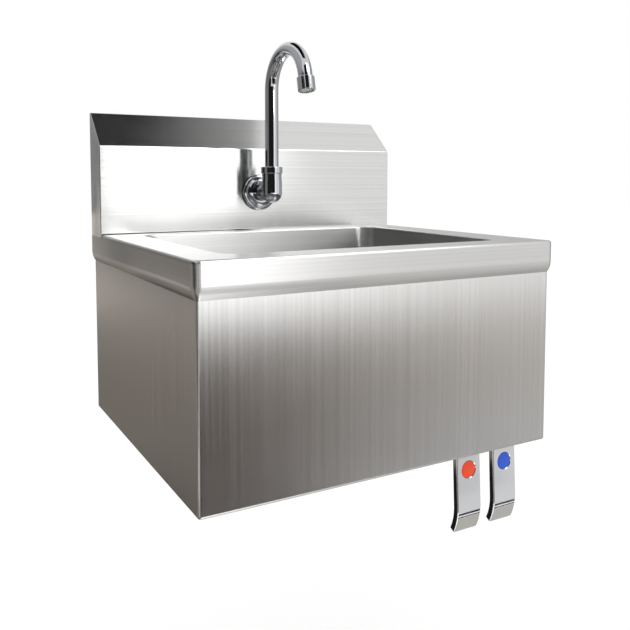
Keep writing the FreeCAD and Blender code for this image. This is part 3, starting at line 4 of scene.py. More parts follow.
import bpy
from bpy.props import FloatProperty, IntProperty, PointerProperty, StringProperty
from bpy.types import Operator, Panel, PropertyGroup
from mathutils import Color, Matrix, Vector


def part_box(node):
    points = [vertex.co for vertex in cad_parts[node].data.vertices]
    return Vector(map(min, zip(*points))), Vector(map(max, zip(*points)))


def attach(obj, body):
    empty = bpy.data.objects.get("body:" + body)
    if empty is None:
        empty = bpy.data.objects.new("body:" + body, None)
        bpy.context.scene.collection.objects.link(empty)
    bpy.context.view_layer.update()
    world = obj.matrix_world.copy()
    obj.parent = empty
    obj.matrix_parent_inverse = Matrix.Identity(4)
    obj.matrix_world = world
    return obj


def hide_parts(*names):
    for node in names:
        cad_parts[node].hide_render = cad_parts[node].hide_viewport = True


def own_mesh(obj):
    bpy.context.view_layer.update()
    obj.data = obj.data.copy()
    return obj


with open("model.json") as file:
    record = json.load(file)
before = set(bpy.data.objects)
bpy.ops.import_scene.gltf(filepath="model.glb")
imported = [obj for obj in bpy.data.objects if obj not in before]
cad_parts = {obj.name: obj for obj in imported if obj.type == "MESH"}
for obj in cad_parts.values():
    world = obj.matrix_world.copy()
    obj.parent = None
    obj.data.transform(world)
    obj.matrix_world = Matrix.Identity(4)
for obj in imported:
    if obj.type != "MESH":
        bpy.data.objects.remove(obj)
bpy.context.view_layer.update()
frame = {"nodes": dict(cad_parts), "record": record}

bl_info = {
    "name": "Knee-pedal hand basin",
    "version": (1, 0, 0),
    "blender": (4, 5, 0),
    "location": "View3D > Sidebar > Basin",
    "description": "Dresses a wall-hung stainless hand basin and sets it in a white studio",
    "category": "Object",
}

MM = 0.001
QUARTER_TURN = math.pi / 2
WHITE = "FFFFFF"
NODES = frame["nodes"]
SLOTS = {subpart["node"]: subpart["material_slot"] for subpart in frame["record"]["subparts"]}
SHEET_ACROSS = ("backsplash", "strainer_cup", "strainer_knob", "drain_body")
SHEET_UPRIGHT = ("skirt", "valve_bracket")
CHROMED_FAUCET = ("faucet_elbow", "escutcheon", "spout_tube", "spout_nut", "aerator_housing")
CHROMED_BUFFED = ("tailpiece", "tailpiece_nut", "hot_pedal", "cold_pedal")

# The picture's width, and how far its middle lies below the lens's axis, in pixels.
PICTURE_WIDTH = 630
PICTURE_DROP = 85

# A noise pattern seldom leaves these values, so a finish grades between them.
NOISE_RANGE = {"From Min": 0.3, "From Max": 0.7}

# Reflection cards: what the sheets and the chrome mirror. Places are metres in the basin's frame.
# A card with one strength glows evenly. One with two grades from the first to the second between its
# ends: places along the axis named, or angles round the basin's front, to the right of straight out.
# A card is white unless it has a colour, and a tint is its colour at the first end alone.
TURN = "TURN"
TURN_CENTRE = (0.0, -0.377, 0.0)
CARDS = {
    "front_softbox": {
        "low": (1.0, -4.1, -0.25), "high": (6.5, -4.1, 1.7),
        "strength": (1.62, 1.06), "axis": "X", "ends": (1.45, 1.9),
    },
    "front_softbox_side": {
        "low": (-0.6, -4.1, -0.25), "high": (1.0, -4.1, 1.7),
        "strength": (1.1, 1.62), "axis": "X", "ends": (0.75, 1.0),
    },
    "front_softbox_low": {
        "low": (-0.6, -4.1, -0.78), "high": (6.5, -4.1, -0.25),
        "strength": (2.55, 1.1), "axis": "X", "ends": (1.6, 2.3),
    },
    "front_softbox_head": {
        "low": (0.4, -4.05, 0.4), "high": (2.2, -4.05, 1.7),
        "strength": (5.4, 2.0), "axis": "X", "ends": (1.2, 2.2),
    },
    "front_softbox_foot": {
        "low": (-0.6, -4.1, -0.97), "high": (6.5, -4.1, -0.78),
        "strength": (1.7, 1.08), "axis": "X", "ends": (1.6, 2.3),
    },
    "low_shade": {
        "low": (-1.2, -4.09, -0.97), "high": (5.5, -1.62, -0.97), "colour": "F3ECE6", "tint": "E0945C",
        "strength": (0.05, 0.82), "axis": TURN, "ends": (math.radians(18), math.radians(51)),
    },
    "low_left_shade": {
        "low": (-1.2, -1.62, -0.97), "high": (0.75, -1.3, -0.97), "colour": "F3ECE6", "tint": "E0945C",
        "strength": (0.02, 0.25), "axis": "X", "ends": (0.3, 0.75),
    },
    "rim_light": {
        "low": (-0.3, -1.3, -0.97), "high": (0.75, -1.15, -0.97),
        "strength": (2.4, 0.5), "axis": "X", "ends": (0.2, 0.68),
    },
    "near_floor_left": {
        "low": (-0.24, -1.15, -0.965), "high": (0.4, -0.55, -0.965),
        "strength": (2.4, 0.7), "axis": "X", "ends": (0.0, 0.4),
    },
    "near_floor_right": {"low": (0.75, -1.66, -0.965), "high": (2.2, -1.0, -0.965), "strength": 0.74},
    "pedal_light": {
        "low": (1.15, -2.0, -0.965), "high": (2.2, -1.66, -0.965),
        "strength": (0.64, 0.74), "axis": "X", "ends": (1.3, 1.6),
    },
    "floor_line_far": {"low": (0.4, -1.0, -0.96), "high": (2.2, -0.9, -0.96), "strength": 0.01},
    "floor_line_near": {"low": (0.4, -0.84, -0.96), "high": (2.2, -0.79, -0.96), "strength": 0.01},
    "floor_under": {
        "low": (0.0, -0.78, -0.965), "high": (2.2, 0.6, -0.965), "colour": "EDEAE2", "strength": 0.62,
    },
    "ceiling_shade": {
        "low": (-0.3, -0.75, 1.5), "high": (0.7, 1.1, 1.5),
        "strength": (0.0, 0.4), "axis": "X", "ends": (0.22, 0.74),
    },
    "overhead_softbox": {"low": (0.25, -2.1, 1.3), "high": (1.5, -1.0, 1.3), "strength": 5.0},
    "left_shade": {
        "low": (-0.5, -0.4, -0.97), "high": (-0.5, 2.6, -0.38), "colour": "FFF2E4",
        "strength": (0.23, 0.26), "axis": "Y", "ends": (0.5, 1.2),
    },
    "left_band": {
        "low": (-0.5, -0.4, -0.38), "high": (-0.5, 2.6, -0.15), "colour": "FFF4E8",
        "strength": (0.36, 0.95), "axis": "Y", "ends": (0.4, 1.0),
    },
    "rim_shade": {
        "low": (-0.497, 0.1, -0.27), "high": (-0.497, 1.1, -0.02), "colour": "FBF8F3",
        "strength": (0.04, 0.4), "axis": "Y", "ends": (0.5, 1.0),
    },
    "faucet_shade": {"low": (-0.498, -0.4, -0.15), "high": (-0.498, -0.2, 0.3), "strength": 0.02},
    "pedal_shade": {
        "low": (-0.499, -0.1, -0.97), "high": (-0.499, 0.9, -0.72), "colour": "FBF8F3", "strength": 0.01,
    },
    "left_upper_shade": {
        "low": (-0.5, -0.4, -0.15), "high": (-0.5, 2.6, 0.9),
        "strength": (0.24, 0.55), "axis": "Z", "ends": (0.05, 0.4),
    },
    "left_floor_shade": {
        "low": (-1.6, -1.1, -0.965), "high": (-0.25, 1.2, -0.965), "colour": "F2EEDC", "strength": 0.1,
    },
    "back_floor_shade": {
        "low": (-0.49, 0.9, -0.965), "high": (1.5, 4.5, -0.965), "colour": "F2EEDC", "strength": 0.08,
    },
    "right_shade": {"low": (2.2, -1.2, -0.97), "high": (2.2, 4.0, 1.6), "strength": 0.5},
    "camera_shade": {
        "low": (-1.7, -2.2, -0.16), "high": (0.3, -2.2, 2.6),
        "strength": (0.01, 0.02), "axis": "Z", "ends": (-0.8, 0.9),
    },
    "left_front_shade": {
        "low": (-1.7, -2.2, -0.9), "high": (-1.7, -0.4, 1.2),
        "strength": (0.02, 0.1), "axis": "Z", "ends": (0.3, 1.2),
    },
}


class BasinFinishes(PropertyGroup):
    """Colours and grain sizes of the basin's finishes."""

    steel_colour: StringProperty(
        name="Stainless steel", description="Colour of the brushed sheet, as sRGB hex", default="D2D2D1",
    )
    chrome_colour: StringProperty(
        name="Chrome", description="Colour of the faucet's chrome plate, as sRGB hex", default="C5C7CB",
    )
    # The pedals' chrome is written lighter than chrome plate is: partly the plate's colour, partly painted
    # light for the bright floor that the pedals mirror.
    casting_colour_with_painted_light: StringProperty(
        name="Chromed casting", description="Colour of the pedals' chrome plate, as sRGB hex",
        default="E8E9EB",
    )
    red_colour: StringProperty(
        name="Hot disc", description="Colour of the hot pedal's disc, as sRGB hex", default="F0461A",
    )
    blue_colour: StringProperty(
        name="Cold disc", description="Colour of the cold pedal's disc, as sRGB hex", default="1F56CE",
    )
    brass_colour: StringProperty(
        name="Brass", description="Colour of the turned brass, as sRGB hex", default="D9B566",
    )
    copper_colour: StringProperty(
        name="Copper", description="Colour of the drawn copper tube, as sRGB hex", default="D98E6A",
    )
    zinc_colour: StringProperty(
        name="Zinc plate", description="Colour of the zinc-plated steel, as sRGB hex", default="C3C6CA",
    )
    spring_colour: StringProperty(
        name="Spring wire", description="Colour of the drawn spring wire, as sRGB hex", default="B4B5B7",
    )
    rubber_colour: StringProperty(
        name="Rubber", description="Colour of the black rubber seals, as sRGB hex", default="1B1B1C",
    )
    fibre_colour: StringProperty(
        name="Fibre", description="Colour of the pressed fibre washer, as sRGB hex", default="8A5A3C",
    )
    plastic_colour: StringProperty(
        name="White acetal", description="Colour of the moulded white acetal, as sRGB hex", default="EDEDE8",
    )
    streak_width: FloatProperty(
        name="Brush streak width", description="Width of a drawn brush streak", default=3.2 * MM,
        unit="LENGTH", subtype="DISTANCE",
    )
    streak_length: FloatProperty(
        name="Brush streak length", description="Length of a drawn brush streak", default=1500 * MM,
        unit="LENGTH", subtype="DISTANCE",
    )
    smudge_size: FloatProperty(
        name="Smudge size", description="Size of the faint handling marks on bright metal", default=35 * MM,
        unit="LENGTH", subtype="DISTANCE",
    )
    grain_size: FloatProperty(
        name="Grain size", description="Drawn size of the marks and grain on the fittings",
        default=2 * MM, unit="LENGTH", subtype="DISTANCE",
    )
    grain_height: FloatProperty(
        name="Grain height", description="Height of the tool marks and grain on the fittings",
        default=0.01 * MM, unit="LENGTH", subtype="DISTANCE",
    )
    disc_grain_size: FloatProperty(
        name="Disc grain size", description="Size of the faint ripple on the index discs", default=3 * MM,
        unit="LENGTH", subtype="DISTANCE",
    )
    disc_grain_height: FloatProperty(
        name="Disc grain height", description="Height of the faint ripple on the index discs",
        default=0.02 * MM, unit="LENGTH", subtype="DISTANCE",
    )


class BasinDetails(PropertyGroup):
    """Sizes of the threads, the springs and the weld."""

    pipe_pitch: FloatProperty(
        name="Pipe pitch", description="Rise of one turn of a half-inch pipe thread", default=1.814 * MM,
        unit="LENGTH", subtype="DISTANCE",
    )
    pipe_thread: FloatProperty(
        name="Pipe thread length", description="Length of the thread on an inlet", default=10 * MM,
        unit="LENGTH", subtype="DISTANCE",
    )
    drain_pitch: FloatProperty(
        name="Drain pitch", description="Rise of one turn of the drain's thread", default=2.2 * MM,
        unit="LENGTH", subtype="DISTANCE",
    )
    drain_thread: FloatProperty(
        name="Drain thread length", description="Length of the drain's thread below its nut", default=19 * MM,
        unit="LENGTH", subtype="DISTANCE",
    )
    drain_radius: FloatProperty(
        name="Drain radius", description="Radius of the drain's threaded part", default=28 * MM,
        unit="LENGTH", subtype="DISTANCE",
    )
    thread_depth: FloatProperty(
        name="Thread depth", description="How far a thread's crest stands out", default=0.5 * MM,
        unit="LENGTH", subtype="DISTANCE",
    )
    spring_wire: FloatProperty(
        name="Spring wire", description="Thickness of the return springs' wire", default=1.2 * MM,
        unit="LENGTH", subtype="DISTANCE",
    )
    spring_turns: IntProperty(name="Spring turns", description="Turns of each return spring", default=6)
    weld_leg: FloatProperty(
        name="Weld leg", description="Width of the weld between the deck and the splashback",
        default=1.6 * MM, unit="LENGTH", subtype="DISTANCE",
    )


class BasinStage(PropertyGroup):
    """The camera, the floor and the light."""

    rim_height: FloatProperty(
        name="Rim height", description="Height of the basin's rim above the floor", default=0.865,
        unit="LENGTH", subtype="DISTANCE",
    )
    floor_size: FloatProperty(
        name="Floor size", description="Length of the floor's side", default=40.0,
        unit="LENGTH", subtype="DISTANCE",
    )
    floor_colour: StringProperty(
        name="Floor", description="Colour of the floor, as sRGB hex", default="FCFCFC",
    )
    floor_cloud: FloatProperty(
        name="Floor cloud", description="Size of the faint cloud in the floor's paint", default=0.8,
        unit="LENGTH", subtype="DISTANCE",
    )
    camera_x: FloatProperty(
        name="Camera across", description="Camera's place to the right of the basin's middle",
        default=-0.4312, unit="LENGTH", subtype="DISTANCE",
    )
    camera_y: FloatProperty(
        name="Camera in front", description="Camera's place from the wall", default=-0.9782,
        unit="LENGTH", subtype="DISTANCE",
    )
    camera_z: FloatProperty(
        name="Camera height", description="Camera's height from the wall screws", default=-0.0439,
        unit="LENGTH", subtype="DISTANCE",
    )
    camera_turn: FloatProperty(
        name="Camera turn", description="Angle of the view to the right of straight on",
        default=math.radians(29.282), unit="ROTATION", subtype="ANGLE",
    )
    camera_tilt: FloatProperty(
        name="Camera tilt", description="Angle of the view below level", default=math.radians(3.973),
        unit="ROTATION", subtype="ANGLE",
    )
    camera_lens: FloatProperty(name="Lens", description="Focal length in millimetres", default=42.144)
    camera_rise: FloatProperty(
        name="Lens rise", description="Vertical shift, as a share of the picture's width",
        default=-PICTURE_DROP / PICTURE_WIDTH,
    )
    fill_strength: FloatProperty(
        name="Fill light", description="Strength of the white light from all round", default=1.06,
    )
    lamp_power: FloatProperty(
        name="Soft lamp", description="Power of the large lamp above", default=4.0,
        unit="POWER", subtype="POWER",
    )
    lamp_size: FloatProperty(
        name="Lamp size", description="Length of the large lamp's side", default=1.6,
        unit="LENGTH", subtype="DISTANCE",
    )


def linear(hex_colour):
    """A written sRGB colour as the linear colour that a shader takes, with its alpha."""
    brightest = 255
    shares = [int(hex_colour[start:start + 2], 16) / brightest for start in (0, 2, 4)]
    return [*Color(shares).from_srgb_to_scene_linear(), 1.0]


def add_node(tree, kind, settings=None, feeds=None):
    """A shader node with its settings, and each socket's value or the socket that feeds it."""
    made = tree.nodes.new(kind)
    for name, value in (settings or {}).items():
        setattr(made, name, value)
    for name, value in (feeds or {}).items():
        if isinstance(value, bpy.types.NodeSocket):
            tree.links.new(value, made.inputs[name])
        else:
            made.inputs[name].default_value = value
    return made


def new_finish(name):
    """An empty material, its node tree and the place on the surface."""
    material = bpy.data.materials.new(name)
    material.use_nodes = True
    tree = material.node_tree
    tree.nodes.clear()
    place = add_node(tree, "ShaderNodeTexCoord").outputs["Object"]
    return material, tree, place


def tinted(tree, colour, pattern, darkest, lightest=1.0, pattern_range=NOISE_RANGE):
    """The colour of a surface, darkest where a pattern is low and lightest where it is high."""
    tone = add_node(
        tree, "ShaderNodeMapRange",
        feeds={"Value": pattern, **pattern_range, "To Min": darkest, "To Max": lightest},
    )
    tint = add_node(
        tree, "ShaderNodeMix", {"data_type": "RGBA", "blend_type": "MULTIPLY"},
        {"Factor": 1.0, "A": linear(colour), "B": tone.outputs[0]},
    )
    return tint.outputs["Result"]


def show(tree, shader):
    """Makes the shader the material's surface."""
    add_node(tree, "ShaderNodeOutputMaterial", feeds={"Surface": shader.outputs[0]})


def give(material, names):
    """Puts a material on CAD nodes, whose meshes stay as they are."""
    for name in names:
        for holder in NODES[name].material_slots:
            holder.material = material


def brushed_steel(name, finishes, grain, roughness, draw_share):
    """Stainless sheet, brushed on a fine belt along the grain's axis.

    The belt leaves long parallel scratches, so the eye sees soft streaks, and reflections that are
    drawn out across the scratches, by the share given. Real scratches are about a tenth of a
    millimetre wide. They are drawn as streaks a few millimetres wide, because finer ones would not
    show. The roughness varies only a little, so that the sheen stays even.
    """
    fine = 1 / finishes.streak_width
    long = 1 / finishes.streak_length
    wall_stretch, flat_stretch = {
        "X": ((long, long, fine), (long, fine, long)),
        "Z": ((fine, fine, long), (fine, long, long)),
    }[grain]
    noise_settings = {"Scale": 1.0, "Detail": 2.0, "Roughness": 0.6}
    flattening = {"From Min": 0.75, "From Max": 0.95}
    darkest_tone = 0.94
    lightest_tone = 1.05
    mark_detail = 2.0
    mark_range = {"From Min": 0.35, "From Max": 0.65}
    rough_spread = 0.006

    material, tree, place = new_finish(name)
    wall_place = add_node(tree, "ShaderNodeMapping", feeds={"Vector": place, "Scale": wall_stretch})
    flat_place = add_node(tree, "ShaderNodeMapping", feeds={"Vector": place, "Scale": flat_stretch})
    wall_streak = add_node(
        tree, "ShaderNodeTexNoise", feeds={"Vector": wall_place.outputs[0], **noise_settings},
    )
    flat_streak = add_node(
        tree, "ShaderNodeTexNoise", feeds={"Vector": flat_place.outputs[0], **noise_settings},
    )
    facing = add_node(tree, "ShaderNodeNewGeometry").outputs["Normal"]
    parts = add_node(tree, "ShaderNodeSeparateXYZ", feeds={"Vector": facing})
    upward = add_node(tree, "ShaderNodeMath", {"operation": "ABSOLUTE"}, {0: parts.outputs["Z"]})
    flat_share = add_node(tree, "ShaderNodeMapRange", feeds={"Value": upward.outputs[0], **flattening})
    streak = add_node(
        tree, "ShaderNodeMix", {"data_type": "FLOAT"},
        {"Factor": flat_share.outputs[0], "A": wall_streak.outputs["Fac"], "B": flat_streak.outputs["Fac"]},
    ).outputs["Result"]
    marks = add_node(
        tree, "ShaderNodeTexNoise",
        feeds={"Vector": place, "Scale": 1 / finishes.smudge_size, "Detail": mark_detail},
    )
    streak_rough = add_node(
        tree, "ShaderNodeMapRange",
        feeds={
            "Value": streak, **NOISE_RANGE,
            "To Min": roughness - rough_spread, "To Max": roughness + rough_spread,
        },
    )
    mark_rough = add_node(
        tree, "ShaderNodeMapRange",
        feeds={"Value": marks.outputs["Fac"], **mark_range, "To Min": -rough_spread, "To Max": rough_spread},
    )
    rough = add_node(
        tree, "ShaderNodeMath", {"operation": "ADD"}, {0: streak_rough.outputs[0], 1: mark_rough.outputs[0]},
    )
    along = add_node(tree, "ShaderNodeTangent", {"direction_type": "RADIAL", "axis": grain})
    metal = add_node(
        tree, "ShaderNodeBsdfPrincipled",
        feeds={
            "Base Color": tinted(tree, finishes.steel_colour, streak, darkest_tone, lightest_tone),
            "Metallic": 1.0, "Roughness": rough.outputs[0], "Anisotropic": draw_share,
            "Tangent": along.outputs[0],
        },
    )
    show(tree, metal)
    return material


def bright_metal(name, colour, roughness, rough_spread, mark_size, tone_spread, relief_height=0.0):
    """Metal that is turned, drawn or plated, with faint marks in its gloss and its colour.

    Marks from hands are drawn at their real size. Those of a lathe, a die or a plating bath are a tenth
    of a millimetre wide or less. They are drawn a few millimetres wide, because finer ones would not show.
    """
    mark_detail = 4.0
    mark_roughness = 0.6
    material, tree, place = new_finish(name)
    marks = add_node(
        tree, "ShaderNodeTexNoise",
        feeds={"Vector": place, "Scale": 1 / mark_size, "Detail": mark_detail, "Roughness": mark_roughness},
    ).outputs["Fac"]
    rough = add_node(
        tree, "ShaderNodeMapRange",
        feeds={"Value": marks, **NOISE_RANGE, "To Min": roughness, "To Max": roughness + rough_spread},
    )
    feeds = {
        "Base Color": tinted(tree, colour, marks, 1.0 - tone_spread),
        "Metallic": 1.0, "Roughness": rough.outputs[0],
    }
    if relief_height:
        relief = add_node(
            tree, "ShaderNodeBump", feeds={"Strength": 1.0, "Distance": relief_height, "Height": marks},
        )
        feeds["Normal"] = relief.outputs[0]
    show(tree, add_node(tree, "ShaderNodeBsdfPrincipled", feeds=feeds))
    return material


def moulded(name, colour, roughness, index, grain_size, grain_height, tone_spread):
    """A moulded or pressed piece: one colour with a faint cloud in it, and a low grain.

    Real grain is finer than a tenth of a millimetre. It is drawn a few millimetres wide, because finer
    grain would not show.
    """
    cloud_detail = 3.0
    material, tree, place = new_finish(name)
    cloud = add_node(
        tree, "ShaderNodeTexNoise", feeds={"Vector": place, "Scale": 1 / grain_size, "Detail": cloud_detail},
    ).outputs["Fac"]
    relief = add_node(
        tree, "ShaderNodeBump", feeds={"Strength": 1.0, "Distance": grain_height, "Height": cloud},
    )
    body = add_node(
        tree, "ShaderNodeBsdfPrincipled",
        feeds={
            "Base Color": tinted(tree, colour, cloud, 1.0 - tone_spread),
            "Roughness": roughness, "IOR": index, "Normal": relief.outputs[0],
        },
    )
    show(tree, body)
    return material


class BASIN_OT_sheet_steel(Operator):
    """Finishes the deck, bowl, splashback, skirt, bracket, drain and strainer as brushed stainless steel"""

    bl_idname = "basin.sheet_steel"
    bl_label = "Brush the sheet steel"

    def execute(self, context):
        finishes = context.scene.basin_finishes
        # The splashback is brushed along its length, and the drain and strainer alike: what they mirror
        # is drawn out up and down.
        across = brushed_steel(
            "stainless sheet brushed across", finishes, grain="X", roughness=0.18, draw_share=0.9,
        )
        give(across, SHEET_ACROSS)
        # The bowl and deck are brushed again after pressing, with a coarser belt: a softer, greyer sheen.
        bowl = brushed_steel(
            "stainless bowl brushed across", finishes, grain="X", roughness=0.29, draw_share=0.9,
        )
        give(bowl, ["basin_top"])
        # The skirt is brushed upright: light and dark run into each other sideways, and streaks run down.
        upright = brushed_steel(
            "stainless sheet brushed upright", finishes, grain="Z", roughness=0.255, draw_share=0.85,
        )
        give(upright, SHEET_UPRIGHT)
        return {"FINISHED"}


class BASIN_OT_chrome(Operator):
    """Finishes the faucet, the pedals and the waste's tail as polished chrome plate"""

    bl_idname = "basin.chrome"
    bl_label = "Plate the chrome"

    def execute(self, context):
        finishes = context.scene.basin_finishes
        # Chrome on polished brass: a mirror with a cool tone, a little clouded by hands.
        faucet = bright_metal(
            "chrome plate polished", finishes.chrome_colour, roughness=0.03, rough_spread=0.04,
            mark_size=finishes.smudge_size, tone_spread=0.05,
        )
        give(faucet, CHROMED_FAUCET)
        # Chrome on buffed pedals and the waste's tail: nearly a mirror, with softer edges to what it shows.
        # Its colour is lighter than the faucet's chrome as painted light, standing in for the bright floor
        # that the pedals mirror.
        buffed = bright_metal(
            "chrome plate on buffed casting, painted lighter", finishes.casting_colour_with_painted_light, roughness=0.06, rough_spread=0.03,
            mark_size=finishes.smudge_size, tone_spread=0.05,
        )
        give(buffed, CHROMED_BUFFED)
        return {"FINISHED"}


class BASIN_OT_index_discs(Operator):
    """Finishes the hot and cold discs as gloss acrylic"""

    bl_idname = "basin.index_discs"
    bl_label = "Colour the index discs"

    def execute(self, context):
        finishes = context.scene.basin_finishes
        # Acrylic, moulded: a strong even colour under a gloss, with a faint ripple in it.
        for name, node, colour in (
            ("red acrylic moulded", "hot_index", finishes.red_colour),
            ("blue acrylic moulded", "cold_index", finishes.blue_colour),
        ):
            disc = moulded(
                name, colour, roughness=0.22, index=1.49, grain_size=finishes.disc_grain_size,
                grain_height=finishes.disc_grain_height, tone_spread=0.06,
            )
            give(disc, [node])
        return {"FINISHED"}


class BASIN_OT_fittings(Operator):
    """Finishes the brass, copper, zinc, spring wire, rubber, fibre and acetal pieces"""

    bl_idname = "basin.fittings"
    bl_label = "Finish the fittings"

    def execute(self, context):
        finishes = context.scene.basin_finishes
        grain_size = finishes.grain_size
        grain_height = finishes.grain_height
        groups = {
            # Turned brass: warm yellow, with a satin gleam broken by the tool's fine marks.
            "brass": bright_metal(
                "brass turned", finishes.brass_colour, roughness=0.22, rough_spread=0.14,
                mark_size=grain_size, tone_spread=0.14, relief_height=grain_height,
            ),
            # Drawn copper tube: orange and smooth, dulled in patches where it was handled.
            "copper": bright_metal(
                "copper tube drawn", finishes.copper_colour, roughness=0.24, rough_spread=0.16,
                mark_size=finishes.smudge_size, tone_spread=0.25,
            ),
            # Zinc plate: a cool grey that is duller than chrome.
            "plated_steel": bright_metal(
                "steel zinc plated", finishes.zinc_colour, roughness=0.30, rough_spread=0.15,
                mark_size=grain_size, tone_spread=0.12, relief_height=grain_height,
            ),
            # Drawn wire: grey, with a dull gleam along each turn.
            "spring_steel": bright_metal(
                "spring wire drawn", finishes.spring_colour, roughness=0.28, rough_spread=0.12,
                mark_size=grain_size, tone_spread=0.15,
            ),
            # Moulded rubber: black and nearly matt.
            "rubber": moulded(
                "black rubber moulded", finishes.rubber_colour, roughness=0.7, index=1.52,
                grain_size=grain_size, grain_height=grain_height, tone_spread=0.2,
            ),
            # Pressed fibre: matt red-brown with darker flecks.
            "fibre": moulded(
                "red-brown fibre pressed", finishes.fibre_colour, roughness=0.75, index=1.5,
                grain_size=grain_size, grain_height=grain_height, tone_spread=0.25,
            ),
            # Moulded acetal: a waxy white with a soft highlight.
            "white_plastic": moulded(
                "white acetal moulded", finishes.plastic_colour, roughness=0.38, index=1.48,
                grain_size=grain_size, grain_height=grain_height, tone_spread=0.04,
            ),
        }
        for node, slot in SLOTS.items():
            if slot in groups:
                give(groups[slot], [node])
        return {"FINISHED"}


def wind(name, sides, reach, half_rise, radius, pitch, turns, axis):
    """A section with its own reach and half rise, wound round an upright or a level axis."""
    steps_per_turn = 40
    facing = {"Z": (QUARTER_TURN, 0, 0), "Y": (0, 0, 0)}[axis]
    bpy.ops.object.select_all(action="DESELECT")
    bpy.ops.mesh.primitive_circle_add(vertices=sides, radius=half_rise, rotation=facing)
    coil = bpy.context.object
    coil.name = name
    bpy.ops.object.transform_apply(rotation=True)
    bpy.ops.object.mode_set(mode="EDIT")
    bpy.ops.mesh.select_all(action="SELECT")
    bpy.ops.transform.resize(value=(reach / half_rise, 1, 1))
    bpy.ops.transform.translate(value=(radius, 0, 0))
    bpy.ops.object.mode_set(mode="OBJECT")
    winding = coil.modifiers.new("winding", "SCREW")
    winding.axis = axis
    winding.screw_offset = pitch
    winding.iterations = turns
    winding.steps = steps_per_turn
    winding.render_steps = steps_per_turn
    bpy.ops.object.modifier_apply(modifier=winding.name)
    bpy.ops.object.mode_set(mode="EDIT")
    bpy.ops.mesh.select_all(action="SELECT")
    bpy.ops.mesh.fill_holes(sides=sides)
    bpy.ops.mesh.normals_make_consistent(inside=False)
    bpy.ops.object.mode_set(mode="OBJECT")
    return coil


def seat(coil, place, node):
    """Moves a wound piece to its place and gives it the finish of the CAD node it belongs to."""
    crest_angle = math.radians(30)
    coil.location = place
    bpy.ops.object.transform_apply(location=True)
    bpy.ops.object.shade_smooth_by_angle(angle=crest_angle)
    coil.data.materials.append(NODES[node].material_slots[0].material)
    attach(coil, "basin")


class BASIN_OT_threads(Operator):
    """Winds the pointed thread ridges on the two inlets and on the drain below its nut"""

    bl_idname = "basin.threads"
    bl_label = "Wind the threads"

    def execute(self, context):
        details = context.scene.basin_details
        sides = 4
        for side in ("hot", "cold"):
            node = f"{side}_inlet"
            low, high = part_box(node)
            radius = (high[0] - low[0]) / 2
            pitch = details.pipe_pitch
            ridge = wind(
                f"{side}_inlet_thread", sides, details.thread_depth, pitch / 2, radius, pitch,
                int(details.pipe_thread / pitch), "Z",
            )
            seat(ridge, (low[0] + radius, low[1] + radius, low[2] + pitch / 2), node)
        node = "drain_body"
        low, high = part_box(node)
        under_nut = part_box("drain_locknut")[0][2]
        pitch = details.drain_pitch
        ridge = wind(
            "drain_thread", sides, details.thread_depth, pitch / 2, details.drain_radius, pitch,
            int(details.drain_thread / pitch), "Z",
        )
        seat(ridge, ((low[0] + high[0]) / 2, (low[1] + high[1]) / 2, under_nut - details.drain_thread), node)
        return {"FINISHED"}


class BASIN_OT_springs(Operator):
    """Winds the return springs, at one length, in place of the plain spring parts. On the real basin they
    shorten as the plungers are pushed
    """

    bl_idname = "basin.springs"
    bl_label = "Wind the springs"

    def execute(self, context):
        details = context.scene.basin_details
        half_wire = details.spring_wire / 2
        sides = 12
        for side in ("hot", "cold"):
            node = f"{side}_spring"
            low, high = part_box(node)
            middle = [(start + end) / 2 for start, end in zip(low, high)]
            length = high[1] - low[1]
            spring = wind(
                f"{side}_return_spring", sides, half_wire, half_wire, (high[0] - low[0]) / 2 - half_wire,
                (length - details.spring_wire) / details.spring_turns, details.spring_turns, "Y",
            )
            seat(spring, (middle[0], low[1] + half_wire, middle[2]), node)
            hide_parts(node)
            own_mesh(spring)
        return {"FINISHED"}


class BASIN_OT_joint_weld(Operator):
    """Lays the ground weld along the joint between the deck and the splashback"""

    bl_idname = "basin.joint_weld"
    bl_label = "Weld the joint"

    def execute(self, context):
        leg = context.scene.basin_details.weld_leg
        low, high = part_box("backsplash")
        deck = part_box("basin_top")[1][2]
        corner_segments = 6
        hollow_share = 0.25
        smooth_angle = math.radians(40)
        bpy.ops.object.select_all(action="DESELECT")
        bpy.ops.mesh.primitive_cube_add(size=1, location=(0, low[1] - leg / 2, deck + leg / 2))
        weld = context.object
        weld.name = "joint_weld"
        weld.scale = (high[0] - low[0] - 2 * leg, leg, leg)
        bpy.ops.object.transform_apply(location=True, rotation=True, scale=True)
        mesh = weld.data
        bpy.ops.object.mode_set(mode="EDIT")
        bpy.ops.mesh.select_all(action="DESELECT")
        bpy.ops.object.mode_set(mode="OBJECT")
        for edge in mesh.edges:
            ends = [mesh.vertices[index].co for index in edge.vertices]
            edge.select = all(end.y < low[1] - leg / 2 and end.z > deck + leg / 2 for end in ends)
        bpy.ops.object.mode_set(mode="EDIT")
        bpy.ops.mesh.select_mode(type="EDGE")
        bpy.ops.mesh.bevel(offset=leg, segments=corner_segments, profile=hollow_share)
        bpy.ops.object.mode_set(mode="OBJECT")
        bpy.ops.object.shade_smooth_by_angle(angle=smooth_angle)
        mesh.materials.append(NODES["backsplash"].material_slots[0].material)
        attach(weld, "basin")
        return {"FINISHED"}


def studio_floor(colour, cloud_size):
    """Painted studio floor, rolled matt: pale, with a faint cloud where the paint is thinner."""
    darkest_tone = 0.995
    whole_range = {"From Min": 0.0, "From Max": 1.0}
    material, tree, place = new_finish("studio paint rolled matt")
    cloud = add_node(tree, "ShaderNodeTexNoise", feeds={"Vector": place, "Scale": 1 / cloud_size})
    paint = tinted(tree, colour, cloud.outputs["Fac"], darkest_tone, pattern_range=whole_range)
    show(tree, add_node(tree, "ShaderNodeBsdfDiffuse", feeds={"Color": paint}))
    return material


